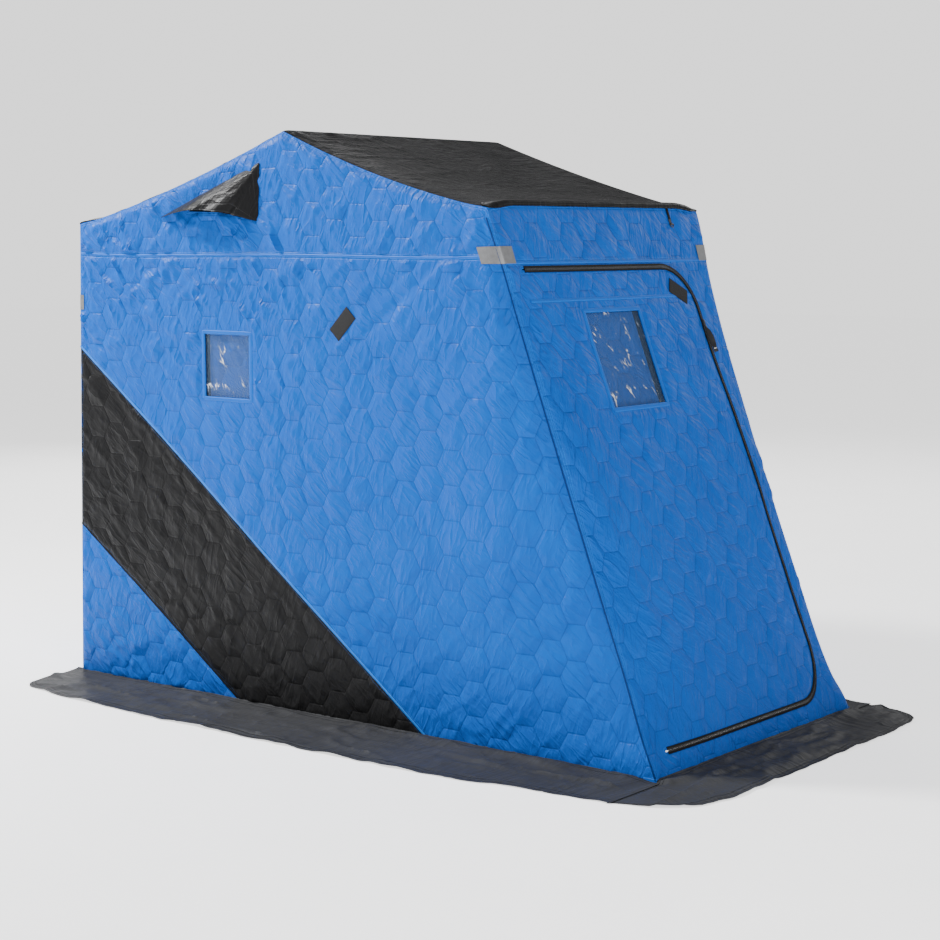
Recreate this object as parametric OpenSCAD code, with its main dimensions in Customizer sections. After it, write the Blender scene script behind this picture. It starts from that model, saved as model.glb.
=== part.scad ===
// Portable ice fishing shelter: quilted fabric panels sewn over three tube bows,
// with a sloping door wall, a black roof, vents, windows and a ground skirt.
// The model is built along X from the rear wall's foot, then centred on its
// footprint: +X points out of the door, +Z is up and the ice is at Z = 0.

/* [Shelter] */
// Width across the outer faces of the two side walls
hut_w = 1120; // [900:10:1400]
// Length on the ground from the rear wall's foot to the door wall's foot
base_l = 2380; // [2150:10:2900]
// How far the top of the rear wall leans forward
rear_lean = 35; // [0:5:100]
// Height of the rear eave
rear_eave_h = 1550; // [1500:10:1900]
// Distance from the rear wall's foot to the ridge
ridge_x = 975; // [900:5:1250]
// Height of the ridge
ridge_h = 1835; // [1750:5:2250]
// Distance from the rear wall's foot to the front eave
front_top_x = 1780; // [1550:10:2000]
// Height of the front eave
front_eave_h = 1590; // [1550:10:1900]

/* [Fabric] */
// Thickness of the quilted wall and roof fabric
wall_t = 6; // [4:0.5:10]
// Height of the seam that runs round the shelter under the eaves
seam_h = 1450; // [1380:10:1480]
// Height at which the dark band's top edge starts on the rear corner
band_top_h = 1155; // [900:5:1300]
// Distance along the ground at which the dark band's top edge ends
band_top_x = 1560; // [1200:10:1900]
// Height at which the dark band's bottom edge starts on the rear corner
band_low_h = 535; // [350:5:700]
// Distance along the ground at which the dark band's bottom edge ends
band_low_x = 775; // [500:5:1000]
// Thickness of webbing, tape and other sewn trim
trim_t = 1.5; // [1:0.5:3]
// Width of the roof fabric folded down over an eave
eave_band_w = 26; // [15:1:45]
// Width of the roof fabric's smooth edge above an eave
eave_band_roof_w = 34; // [15:1:60]
// Gap between an eave band and the fabric under it
sewn_gap = 0.05; // [0.05:0.05:0.3]

/* [Door] */
// Width of the fixed fabric between the near corner and the door's hinge line
hinge_strip_w = 85; // [60:5:150]
// Width of the fixed fabric between the zipper and the far corner, at the top
latch_strip_top_w = 146; // [100:2:180]
// Width of the fixed fabric between the zipper and the far corner, at the bottom
latch_strip_low_w = 90; // [70:2:140]
// Height of the fixed fabric below the door, up the slope
sill_w = 75; // [50:5:150]
// Fixed fabric above the door, down the slope from the eave
header_w = 190; // [150:5:260]
// Radius of the door's two rounded corners
door_corner_r = 165; // [80:5:220]
// Open gap between the door and the fabric round it
door_gap = 5; // [5:0.5:8]
// Gap at the door's sewn hinge seam
hinge_gap = 0.3; // [0.2:0.1:1]
// Distance from the hinge seam to the ends of the zipper
zip_start = 8; // [6:1:15]
// Width of each half of the zipper tape
zip_tape_w = 7.5; // [5:0.5:15]
// Width of the zipper's slider
slider_w = 12; // [8:1:16]
// Length of the zipper's slider
slider_l = 22; // [15:1:30]
// Height of the slider above the wall
slider_h = 8; // [5:1:12]
// Distance of the slider below the top of the door
slider_drop = 205; // [180:5:400]
// Width of the slider's pull
pull_w = 19; // [10:1:25]
// Length of the slider's pull
pull_l = 92; // [40:2:140]
// Thickness of the slider's pull
pull_t = 3; // [2:0.5:5]

/* [Windows] */
// Width of the door's window
door_window_w = 280; // [180:5:340]
// Height of the door's window
door_window_h = 300; // [180:5:360]
// Distance from the door's hinge line to the window
door_window_side = 253; // [150:1:320]
// Distance from the top of the door to the window
door_window_drop = 138; // [100:1:220]
// Width of a side wall's window
side_window_w = 205; // [150:5:300]
// Height of a side wall's window
side_window_h = 205; // [150:5:260]
// Distance from the rear wall's foot to the middle of a side window
side_window_x = 723; // [600:1:900]
// Height of the middle of a side window
side_window_z = 1094; // [1000:1:1200]
// Thickness of the clear vinyl
pane_t = 1; // [0.5:0.5:2]
// Thickness of the quilted blinds behind the panes
blind_t = 4; // [3:0.5:6]
// How far a blind reaches past its window
blind_lap = 22; // [15:1:40]
// Width of the open strip that the door's blind leaves at its far edge
blind_slip = 14; // [0:1:30]

/* [Vents] */
// Distance from a vent's upright edge to the ridge
vent_from_ridge = 92; // [60:2:200]
// Length of a vent along the wall
vent_l = 450; // [300:5:500]
// Height of a vent's upright edge
vent_h = 180; // [120:5:200]
// Drop from the roof's edge to the vent
vent_drop = 72; // [50:2:100]
// How far a vent's hood stands out from the wall
hood_out = 62; // [30:2:90]
// How far the middle of a hood's hem is lifted
hood_lift = 22; // [0:1:40]
// Thickness of a hood
hood_t = 3; // [2:0.5:4]
// Fabric left round a vent's hole under its hood
vent_rim = 24; // [15:1:32]
// Thickness of the screen in a vent's hole
screen_t = 1.5; // [1:0.5:2]

/* [Skirt] */
// Thickness of the ground skirt
skirt_t = 3; // [1.5:0.5:5]
// Width of the skirts along the side walls
side_skirt_w = 340; // [200:5:450]
// Width of the skirt in front of the door wall
end_skirt_w = 232; // [150:2:320]
// How far the near skirt reaches behind the rear wall
skirt_overhang = 25; // [0:5:60]
// Width of the side skirts at their rear ends
skirt_rear_w = 255; // [150:5:300]
// Width of the near skirt where it meets the end skirt
skirt_near_corner_w = 245; // [150:5:300]
// Width of the far skirt where it meets the end skirt
skirt_far_corner_w = 122; // [80:2:200]
// Length over which a side skirt narrows towards its ends
skirt_taper_l = 430; // [200:10:600]

/* [Patches] */
// Length of a hook-and-loop patch
patch_l = 98; // [60:2:130]
// Width of a hook-and-loop patch
patch_w = 51; // [30:1:70]
// Distance from the rear wall's foot to the side patch
side_patch_x = 1222; // [1100:1:1400]
// Height of the side patch
side_patch_z = 1242; // [1150:1:1330]
// Distance from the zipper's long side to the door patch
door_patch_side = 95; // [90:1:200]
// Drop from the top of the door to the door patch
door_patch_drop = 84; // [70:1:150]
// Height of a reflective tape
reflector_h = 50; // [30:1:70]
// Length of a reflective tape on each side of a front corner
reflector_l = 60; // [40:1:90]
// Height of the middle of the front reflective tapes
front_reflector_z = 1454; // [1380:1:1500]
// Height of the middle of the rear reflective tapes
rear_reflector_z = 1285; // [1200:1:1400]
// Length of the rear reflective tapes on the side walls
rear_reflector_side_l = 18; // [10:1:60]

/* [Eave loop] */
// Distance from the far side wall to the webbing loop
loop_from_far = 178; // [100:2:400]
// Width of the webbing loop
loop_w = 14; // [10:1:20]
// Length of the webbing loop
loop_l = 22; // [15:1:40]
// Radius of the D-ring's wire
ring_wire_r = 1.6; // [1.2:0.1:2]
// Radius of the D-ring's bow
ring_r = 10; // [8:0.5:14]
// Clearance round the D-ring's bar in the loop
ring_clear = 0.1; // [0.05:0.05:0.1]

/* [Frame] */
// Distance from the rear wall's foot to the front legs' feet
front_leg_x = 1900; // [1700:10:2000]
// Radius of the frame's tubes
tube_r = 11; // [8:0.5:14]
// Radius of the moulded fittings that join the tubes
fitting_r = 14.5; // [12:0.5:18]
// Length of a fitting's sleeve
fitting_l = 62; // [40:2:90]
// Extra radius of the knuckle where a fitting's sleeves meet
knuckle_swell = 1.5; // [1:0.5:3]
// Clearance between a fitting and the fabric
fabric_clear = 0.3; // [0.1:0.1:1]
// Clearance between a tube and its fitting
tube_clear = 0.2; // [0.1:0.05:0.4]

/* [Hidden] */

$fn = 48;
NEAR = -1;
FAR = 1;
BLUE = "#2468c4";
BLACK = "#2b2b2d";
CHARCOAL = "#38383a";
SILVER = "#a9a9a6";
STEEL = "#8d9194";
// Extra length that takes a cutting shape clear of what it cuts
OVER = 40;
// Straight stretches in each of the door's rounded corners
ARC_STEPS = 14;

half_w = hut_w / 2;
inner_half_w = half_w - wall_t;
// The footprint's middle, which becomes the origin
centre_x = (base_l + end_skirt_w - skirt_overhang) / 2;

// Outer line of the shelter in X and Z: rear foot, rear eave, ridge, front eave, door foot
PROFILE = [
    [0, 0], [rear_lean, rear_eave_h], [ridge_x, ridge_h], [front_top_x, front_eave_h], [base_l, 0]
];
REAR_FOOT = 0;
REAR_EAVE = 1;
RIDGE = 2;
FRONT_EAVE = 3;
DOOR_FOOT = 4;

function unit(v) = v / norm(v);
function left_of(v) = [-v[1], v[0]];
function along(i) = unit(PROFILE[i + 1] - PROFILE[i]);
// Outward normal of the profile's edge from corner i
function outward(i) = left_of(along(i));
// Point on the line through p along d at height z
function at_height(p, d, z) = p + d * (z - p[1]) / d[1];
// Where the lines p + s d and q + t e cross
function crossing(p, d, q, e) = p + d * cross(q - p, e) / cross(d, e);
// Corner i of the profile moved in by depth, with feet kept on the ground
function inset(i, depth, ground = 0) =
    i == REAR_FOOT ? at_height(PROFILE[0] - depth * outward(0), along(0), ground) :
    i == DOOR_FOOT ? at_height(PROFILE[4] - depth * outward(3), along(3), ground) :
    crossing(PROFILE[i] - depth * outward(i - 1), along(i - 1), PROFILE[i] - depth * outward(i), along(i));

slope_l = norm(PROFILE[FRONT_EAVE] - PROFILE[DOOR_FOOT]);
// Lean of the door wall from upright
slope_a = atan2(base_l - front_top_x, front_eave_h);

// Door outline on the wall: across it from its middle, and up its slope
hinge_u = -half_w + hinge_strip_w;
head_v = slope_l - header_w;
sill_v = sill_w;
// Centres of the door's two rounded corners
HEAD_CORNER = [half_w - latch_strip_top_w - door_corner_r, head_v - door_corner_r];
SILL_CORNER = [half_w - latch_strip_low_w - door_corner_r, sill_v + door_corner_r];
// Direction up the zipper's long side, and outwards from it
zip_up = unit(HEAD_CORNER - SILL_CORNER);
zip_out = -left_of(zip_up);
// Point on the long side of the zipper at height v
function zip_at(v) = at_height(SILL_CORNER + door_corner_r * zip_out, zip_up, v);
// Where the fixed fabric beside the zipper takes over from the header and sill
latch_panel_u = HEAD_CORNER[0];
window_u = hinge_u + door_window_side;
window_v = head_v - door_window_drop - door_window_h;
slider_v = head_v - slider_drop;

knuckle_r = fitting_r + knuckle_swell;
rail_z = knuckle_r;
tube_depth = wall_t + fabric_clear + knuckle_r;
tube_y = half_w - tube_depth;
// How far a tube stops short of another tube's centreline
tube_set_back = tube_r / cos(slope_a) + tube_r * tan(slope_a) + 2;

// Moves from rear-foot coordinates to the footprint's middle
module centred() {
    translate([-centre_x, 0, 0]) children();
}

// Extrudes a shape drawn in X and Z across the shelter, centred
module across(width) {
    rotate([90, 0, 0]) linear_extrude(width, center = true) children();
}

// Lays a shape drawn in X and Z on a side wall, from depth inside it to lift outside it
module on_side(side, depth, lift = 0) {
    translate([0, side * (half_w + (lift - depth) / 2), 0]) across(depth + lift) children();
}

// Door wall coordinates: X out of the wall, Y across it, Z up its slope
module on_door_wall() {
    translate([base_l, 0, 0]) rotate([0, -slope_a, 0]) children();
}

// Lays a shape drawn across and up the door wall, from depth inside it to lift outside it
module on_slope(depth, lift = 0) {
    on_door_wall() translate([-depth, 0, 0]) rotate([90, 0, 90]) linear_extrude(depth + lift) children();
}

module box_between(low, high) {
    translate(low) square(high - low);
}

// ---- Side walls ----

module side_profile() {
    polygon(PROFILE);
}

// Everything below the sloping line from the rear corner to the ground
module below_line(rear_h, ground_x) {
    fall = rear_h / ground_x;
    polygon([[-OVER, -OVER], [ground_x + OVER / fall, -OVER], [-OVER, rear_h + OVER * fall]]);
}

module side_window(grow = 0) {
    w = side_window_w + 2 * grow;
    h = side_window_h + 2 * grow;
    translate([side_window_x - w / 2, side_window_z - h / 2]) square([w, h]);
}

module gable_panel(side) {
    color(BLUE) on_side(side, wall_t) difference() {
        intersection() {
            side_profile();
            box_between([-OVER, seam_h], [base_l, ridge_h + OVER]);
        }
        polygon(vent_hole());
    }
}

module main_panel(side) {
    color(BLUE) on_side(side, wall_t) difference() {
        intersection() {
            side_profile();
            box_between([-OVER, -OVER], [base_l + OVER, seam_h]);
        }
        below_line(band_top_h, band_top_x);
        side_window();
    }
}

module band_panel(side) {
    color(BLACK) on_side(side, wall_t) difference() {
        intersection() {
            side_profile();
            below_line(band_top_h, band_top_x);
        }
        below_line(band_low_h, band_low_x);
    }
}

module corner_panel(side) {
    color(BLUE) on_side(side, wall_t) intersection() {
        side_profile();
        below_line(band_low_h, band_low_x);
    }
}

// ---- Rear wall and roof ----

// Layer of the shell over the profile's edge from corner i
module layer(i, width) {
    across(width) polygon([inset(i, 0), inset(i + 1, 0), inset(i + 1, wall_t), inset(i, wall_t)]);
}

// Strip folded over the profile's corner i, with a reach on each side of it
module folded_strip(i, reach_before, reach_after) {
    before = PROFILE[i] - along(i - 1) * reach_before;
    after = PROFILE[i] + along(i) * reach_after;
    across(hut_w) polygon([
        before + sewn_gap * outward(i - 1), before + trim_t * outward(i - 1), inset(i, -trim_t),
        after + trim_t * outward(i), after + sewn_gap * outward(i), inset(i, -sewn_gap)
    ]);
}

// ---- Vents ----

function rear_roof_z(x) = rear_eave_h + (x - rear_lean) * (ridge_h - rear_eave_h) / (ridge_x - rear_lean);
vent_right_x = ridge_x - vent_from_ridge;
vent_left_x = vent_right_x - vent_l;
vent_apex_z = rear_roof_z(vent_right_x) - vent_drop;
// Corners of a vent: its tip, its apex and its lower corner
VENT = [
    [vent_left_x, rear_roof_z(vent_left_x) - vent_drop * 1.25],
    [vent_right_x, vent_apex_z],
    [vent_right_x - 8, vent_apex_z - vent_h]
];
function incentre(t) =
    let (a = norm(t[1] - t[2]), b = norm(t[2] - t[0]), c = norm(t[0] - t[1]))
    (a * t[0] + b * t[1] + c * t[2]) / (a + b + c);
function inradius(t) =
    abs(cross(t[1] - t[0], t[2] - t[0])) / (norm(t[1] - t[2]) + norm(t[2] - t[0]) + norm(t[0] - t[1]));
// The vent's triangle with its edges moved in by the rim
function vent_hole() =
    let (c = incentre(VENT), k = 1 - vent_rim / inradius(VENT))
    [for (p = VENT) c + k * (p - c)];

// One flat leaf of a hood between three points, as thick as the hood
module hood_leaf(side, a, b, c) {
    step = [0, side * hood_t, 0];
    points = [a, b, c, a + step, b + step, c + step];
    inner = [[0, 1, 2], [3, 5, 4], [0, 3, 4], [0, 4, 1], [1, 4, 5], [1, 5, 2], [2, 5, 3], [2, 3, 0]];
    faces = side == NEAR ? inner : [for (f = inner) [f[2], f[1], f[0]]];
    polyhedron(points, faces);
}

module vent_hood(side) {
    y = side * half_w;
    tip = [VENT[0][0], y, VENT[0][1]];
    apex = [VENT[1][0], y, VENT[1][1]];
    corner = [VENT[2][0], y, VENT[2][1]];
    lip = tip * 0.4 + corner * 0.6 + [0, side * hood_out, hood_lift];
    color(CHARCOAL) {
        hood_leaf(side, tip, apex, lip);
        hood_leaf(side, apex, corner, lip);
    }
}

module vent_screen(side) {
    color(BLACK) translate([0, -side * (wall_t - screen_t) / 2, 0]) on_side(side, screen_t) polygon(vent_hole());
}

// ---- Side windows ----

module side_pane(side) {
    color([0.75, 0.82, 0.9, 0.4])
        translate([0, -side * (wall_t - pane_t) / 2, 0]) on_side(side, pane_t) side_window();
}

module side_blind(side) {
    color(BLUE) translate([0, -side * wall_t, 0]) on_side(side, blind_t) side_window(blind_lap);
}

// ---- Door wall ----

function arc(c, r, from, to) =
    [for (i = [0:ARC_STEPS]) let (a = from + (to - from) * i / ARC_STEPS) c + r * [cos(a), sin(a)]];

// The door's outline, grown on all sides but its hinge side
module door_outline(grow, left) {
    r = door_corner_r + grow;
    zip_a = atan2(zip_out[1], zip_out[0]);
    polygon(concat(
        [[left, head_v + grow], [left, sill_v - grow]],
        arc(SILL_CORNER, r, -90, zip_a),
        arc(HEAD_CORNER, r, zip_a, 90)
    ));
}

// The part of the sloping wall that lies over a shape drawn on it
module wall_over() {
    intersection() {
        layer(FRONT_EAVE, 2 * inner_half_w);
        on_slope(wall_t + OVER, OVER) children();
    }
}

module door_opening() {
    door_outline(door_gap / 2, hinge_u - hinge_gap / 2);
}

module door_leaf_outline() {
    door_outline(-door_gap / 2, hinge_u + hinge_gap / 2);
}

module door_header() {
    color(BLUE) wall_over()
        box_between([-half_w, head_v + door_gap / 2], [latch_panel_u, slope_l + OVER]);
}

module door_sill() {
    color(BLUE) wall_over()
        box_between([-half_w, -OVER], [latch_panel_u, sill_v - door_gap / 2]);
}

module door_hinge_strip() {
    color(BLUE) wall_over()
        box_between([-half_w, sill_v - door_gap / 2], [hinge_u - hinge_gap / 2, head_v + door_gap / 2]);
}

module door_latch_panel() {
    color(BLUE) wall_over() difference() {
        box_between([latch_panel_u, -OVER], [half_w, slope_l + OVER]);
        door_opening();
    }
}

module door_window(grow = 0, slip = 0) {
    translate([window_u - grow, window_v - grow])
        square([door_window_w + 2 * grow - slip, door_window_h + 2 * grow]);
}

module door_flap() {
    color(BLUE) on_slope(wall_t) difference() {
        door_leaf_outline();
        door_window();
    }
}

module door_window_pane() {
    color([0.75, 0.82, 0.9, 0.4]) on_door_wall()
        translate([-(wall_t + pane_t) / 2, 0, 0]) rotate([90, 0, 90]) linear_extrude(pane_t) door_window();
}

// The blind stops short of the window's far edge
module door_window_blind() {
    color(BLUE) on_door_wall()
        translate([-wall_t - blind_t, 0, 0]) rotate([90, 0, 90]) linear_extrude(blind_t)
            door_window(blind_lap, blind_lap + blind_slip);
}

module patch(angle) {
    rotate(angle) square([patch_l, patch_w], center = true);
}

module door_patch() {
    v = head_v - door_patch_drop;
    color(BLACK) on_slope(0, trim_t) translate([zip_at(v)[0] - door_patch_side, v]) patch(-27);
}

// One half of the zipper tape, between two outlines grown by inner and outer
module zip_tape(inner, outer) {
    color(BLACK) on_slope(0, trim_t) difference() {
        door_outline(outer, hinge_u + zip_start);
        door_outline(inner, hinge_u + zip_start - OVER);
    }
}

// Zipper coordinates: X out of the wall, Y across the long side, Z up it from height v
module on_zip(v) {
    on_door_wall() translate([trim_t + fabric_clear, zip_at(v)[0], v])
        rotate([atan2(-zip_up[0], zip_up[1]), 0, 0]) children();
}

module zip_slider() {
    color(BLACK) on_zip(slider_v) translate([0, -slider_w / 2, 0])
        cube([slider_h, slider_w, slider_l]);
}

module zip_pull() {
    color(BLACK) on_zip(slider_v) translate([0, -pull_w / 2, -pull_l])
        cube([pull_t, pull_w, pull_l]);
}

// ---- Skirt ----

// Outline of a side skirt from the wall outwards: X along the wall, Y out from it
module side_skirt_outline(rear_w, corner_w) {
    polygon([
        [-skirt_overhang, 0], [-skirt_overhang, rear_w * 0.75], [0, rear_w],
        [skirt_taper_l, side_skirt_w - 30], [skirt_taper_l * 2, side_skirt_w],
        [base_l - skirt_taper_l * 1.5, side_skirt_w], [base_l - skirt_taper_l * 0.5, corner_w + 12],
        [base_l, corner_w], [base_l, 0]
    ]);
}

module side_skirt(side, corner_w) {
    color(CHARCOAL) translate([0, side * half_w, 0]) scale([1, side, 1])
        linear_extrude(skirt_t) side_skirt_outline(skirt_rear_w, corner_w);
}

// The end skirt lies past both front corners, as far out as the side skirts reach there
module end_skirt() {
    near = -half_w - skirt_near_corner_w;
    far = half_w + skirt_far_corner_w;
    color(CHARCOAL) linear_extrude(skirt_t) polygon([
        [base_l, near], [base_l + end_skirt_w * 0.55, near + 45], [base_l + end_skirt_w * 0.93, near + 150],
        [base_l + end_skirt_w, near + 290], [base_l + end_skirt_w, far - 240],
        [base_l + end_skirt_w * 0.88, far - 90], [base_l + end_skirt_w * 0.4, far], [base_l, far]
    ]);
}

// ---- Reflective tape and patches ----

// Tape folded round a front corner: one arm on the side wall and one on the door wall
module front_reflector(side) {
    low = front_reflector_z - reflector_h / 2;
    high = front_reflector_z + reflector_h / 2;
    edge_low = at_height(PROFILE[DOOR_FOOT], along(3), low)[0];
    edge_high = at_height(PROFILE[DOOR_FOOT], along(3), high)[0];
    color(SILVER) {
        on_side(side, 0, trim_t) polygon([
            [edge_low - reflector_l, low], [edge_low, low], [edge_high, high], [edge_high - reflector_l, high]
        ]);
        on_slope(0, trim_t) translate([side * (half_w + trim_t / 2 - reflector_l / 2), low / cos(slope_a)])
            translate([-(reflector_l + trim_t) / 2, 0]) square([reflector_l + trim_t, reflector_h]);
    }
}

// Tape folded round a rear corner
module rear_reflector(side) {
    low = rear_reflector_z - reflector_h / 2;
    high = rear_reflector_z + reflector_h / 2;
    edge_low = at_height(PROFILE[REAR_FOOT], along(0), low);
    edge_high = at_height(PROFILE[REAR_FOOT], along(0), high);
    arm = reflector_l * 2 - rear_reflector_side_l;
    color(SILVER) {
        on_side(side, 0, trim_t) polygon([
            edge_low, edge_high, edge_high + [rear_reflector_side_l, 0], edge_low + [rear_reflector_side_l, 0]
        ]);
        translate([0, side * (half_w + trim_t - arm / 2), 0]) across(arm) polygon([
            edge_low, edge_low + trim_t * outward(0), edge_high + trim_t * outward(0), edge_high
        ]);
    }
}

module side_patch(side) {
    color(BLACK) on_side(side, 0, trim_t) translate([side_patch_x, side_patch_z]) patch(46);
}

// ---- Eave loop ----

loop_u = half_w - loop_from_far;
loop_top_v = slope_l - eave_band_w;
// The ring's bar runs through a tunnel at the loop's lower end
tunnel_bore_r = ring_wire_r + ring_clear;
tunnel_r = tunnel_bore_r + trim_t;
tunnel_v = loop_top_v - loop_l;

module eave_loop() {
    color(BLACK) on_door_wall() difference() {
        union() {
            translate([0, loop_u - loop_w / 2, tunnel_v]) cube([trim_t, loop_w, loop_l]);
            translate([tunnel_r, loop_u - loop_w / 2, tunnel_v]) rotate([-90, 0, 0]) cylinder(h = loop_w, r = tunnel_r);
        }
        translate([tunnel_r, loop_u - loop_w, tunnel_v]) rotate([-90, 0, 0])
            cylinder(h = 2 * loop_w, r = tunnel_bore_r);
    }
}

module eave_ring() {
    color(BLACK) on_door_wall() translate([tunnel_r, loop_u, tunnel_v]) {
        translate([0, -ring_r, 0]) rotate([-90, 0, 0]) cylinder(h = 2 * ring_r, r = ring_wire_r);
        rotate([0, 90, 0]) rotate([0, 0, -90]) rotate_extrude(angle = 180) translate([ring_r, 0]) circle(ring_wire_r);
        for (y = [-ring_r, ring_r])
            translate([0, y, 0]) sphere(ring_wire_r);
    }
}

// ---- Frame ----

// Joints of the frame in X and Z
REAR_GROUND = at_height(inset(REAR_FOOT, tube_depth), along(0), rail_z);
REAR_TOP = inset(REAR_EAVE, tube_depth);
RIDGE_TOP = inset(RIDGE, tube_depth);
RIDGE_GROUND = [RIDGE_TOP[0], rail_z];
FRONT_TOP = inset(FRONT_EAVE, tube_depth);
FRONT_LEG_GROUND = [front_leg_x, rail_z];
FRONT_GROUND = at_height(inset(DOOR_FOOT, tube_depth), along(3), rail_z);

// Round bar between two points given in X and Z
module bar_between(a, b, r, trim_a = 0, trim_b = 0) {
    d = b - a;
    translate([a[0], 0, a[1]]) rotate([0, atan2(d[0], d[1]), 0])
        translate([0, 0, trim_a]) cylinder(h = norm(d) - trim_a - trim_b, r = r);
}

// Round bar straight across the shelter at a joint
module cross_bar(p, r, length) {
    translate([p[0], 0, p[1]]) rotate([90, 0, 0]) cylinder(h = length, r = r, center = true);
}

module on_both_sides() {
    for (side = [NEAR, FAR])
        translate([0, side * tube_y, 0]) children();
}

cross_bar_l = 2 * (tube_y - tube_set_back);

// Sleeve over the first stretch of a tube that runs from a to b
module sleeve(a, b, r, length) {
    bar_between(a, a + unit(b - a) * length, r);
}

// Sleeve over the end of a cross bar, from a joint towards the shelter's middle
module cross_sleeve(p, side, r, length) {
    translate([p[0], 0, p[1]]) rotate([side * 90, 0, 0]) cylinder(h = length, r = r);
}

// Corner that joins tubes running from p to each of the ends to a cross bar.
// The first tube runs right to p, and the others stop short of it.
module corner_fitting(p, ends, side) {
    bore_r = tube_r + tube_clear;
    bore_l = fitting_l + OVER;
    short = tube_set_back - tube_clear;
    translate([0, side * tube_y, 0]) difference() {
        union() {
            translate([p[0], 0, p[1]]) sphere(knuckle_r);
            for (end = ends)
                sleeve(p, end, fitting_r, fitting_l);
            cross_sleeve(p, side, fitting_r, fitting_l);
        }
        sleeve(p, ends[0], bore_r, bore_l);
        if (len(ends) > 1)
            bar_between(p, p + unit(ends[1] - p) * bore_l, bore_r, short);
        translate([0, -side * short, 0]) cross_sleeve(p, side, bore_r, bore_l);
    }
}

// Tee that carries a leg from p up to top on its ground rail
module rail_tee(p, top, side) {
    half_l = [fitting_l, 0];
    translate([0, side * tube_y, 0]) difference() {
        union() {
            bar_between(p - half_l, p + half_l, fitting_r);
            sleeve(p, top, fitting_r, fitting_l);
        }
        bar_between(p - 2 * half_l, p + 2 * half_l, tube_r + tube_clear);
        bar_between(p, top, tube_r + tube_clear, tube_set_back - tube_clear);
    }
}

// A pair of legs, each with its foot either in a corner or short of the rail under it
module legs(foot, top, foot_gap) {
    color(STEEL) on_both_sides() bar_between(foot, top, tube_r, foot_gap, tube_clear);
}

centred() gable_panel(NEAR);  // near_gable_panel
centred() main_panel(NEAR);  // near_main_panel
centred() band_panel(NEAR);  // near_band_panel
centred() corner_panel(NEAR);  // near_corner_panel
centred() gable_panel(FAR);  // far_gable_panel
centred() main_panel(FAR);  // far_main_panel
centred() band_panel(FAR);  // far_band_panel
centred() corner_panel(FAR);  // far_corner_panel
centred() color(BLUE) layer(REAR_FOOT, 2 * inner_half_w);  // rear_wall
centred() color(CHARCOAL) layer(REAR_EAVE, 2 * inner_half_w);  // rear_roof_slope
centred() color(CHARCOAL) layer(RIDGE, 2 * inner_half_w);  // front_roof_slope
centred() color(BLACK) folded_strip(FRONT_EAVE, eave_band_roof_w, eave_band_w);  // front_eave_band
centred() color(BLACK) folded_strip(REAR_EAVE, eave_band_w, eave_band_roof_w);  // rear_eave_band
centred() door_header();
centred() door_sill();
centred() door_hinge_strip();
centred() door_latch_panel();
centred() door_flap();
centred() door_window_pane();
centred() door_window_blind();
centred() door_patch();
centred() zip_tape(-door_gap / 2 - zip_tape_w, -door_gap / 2);  // door_zip_tape
centred() zip_tape(door_gap / 2, door_gap / 2 + zip_tape_w);  // frame_zip_tape
centred() zip_slider();
centred() zip_pull();
centred() {  // side_window_panes
    side_pane(NEAR);
    side_pane(FAR);
}
centred() {  // side_window_blinds
    side_blind(NEAR);
    side_blind(FAR);
}
centred() vent_hood(NEAR);  // near_vent_hood
centred() vent_hood(FAR);  // far_vent_hood
centred() {  // vent_screens
    vent_screen(NEAR);
    vent_screen(FAR);
}
centred() side_skirt(NEAR, skirt_near_corner_w);  // near_skirt
centred() side_skirt(FAR, skirt_far_corner_w);  // far_skirt
centred() end_skirt();
centred() for (side = [NEAR, FAR]) {  // corner_reflectors
    front_reflector(side);
    rear_reflector(side);
}
centred() for (side = [NEAR, FAR]) side_patch(side);  // side_patches
centred() eave_loop();
centred() eave_ring();
centred() color(STEEL) on_both_sides()  // ground_rails
        bar_between(REAR_GROUND, FRONT_GROUND, tube_r, tube_set_back, tube_clear);
centred() color(STEEL) {  // ground_bars
    cross_bar(REAR_GROUND, tube_r, cross_bar_l);
    cross_bar(FRONT_GROUND, tube_r, cross_bar_l);
}
centred() legs(REAR_GROUND, REAR_TOP, tube_clear);  // rear_legs
centred() legs(RIDGE_GROUND, RIDGE_TOP, tube_set_back);  // ridge_legs
centred() legs(FRONT_LEG_GROUND, FRONT_TOP, tube_set_back);  // front_legs
centred() color(STEEL) {  // roof_bars
    cross_bar(REAR_TOP, tube_r, cross_bar_l);
    cross_bar(RIDGE_TOP, tube_r, cross_bar_l);
    cross_bar(FRONT_TOP, tube_r, cross_bar_l);
}
centred() color(BLACK) for (side = [NEAR, FAR]) {  // bow_elbows
    corner_fitting(REAR_TOP, [REAR_GROUND], side);
    corner_fitting(RIDGE_TOP, [RIDGE_GROUND], side);
    corner_fitting(FRONT_TOP, [FRONT_LEG_GROUND], side);
}
centred() color(BLACK) for (side = [NEAR, FAR]) {  // ground_fittings
    corner_fitting(REAR_GROUND, [REAR_TOP, FRONT_GROUND], side);
    corner_fitting(FRONT_GROUND, [REAR_GROUND], side);
    rail_tee(RIDGE_GROUND, RIDGE_TOP, side);
    rail_tee(FRONT_LEG_GROUND, FRONT_TOP, side);
}
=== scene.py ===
"""Ice fishing shelter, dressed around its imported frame.

Quilted fabric panels, a coated roof, vinyl windows, vent hoods and ground skirts are laid as curved
sheets on the surfaces that the frame's own boxes give. Each sheet is cut to its panel's outline,
puffed and creased point by point, and given its thickness. The tubes, fittings and screens stay as
they are in the frame and get their finishes here.

Flat coordinates are millimetres on the cut cloth. Everything else is in metres, in the frame's axes:
+X out of the door, +Z up, with the ice at Z = 0.
"""

import logging
import math
from abc import ABC, abstractmethod
from collections.abc import Callable, Sequence
from dataclasses import dataclass, field
from enum import Enum

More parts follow.
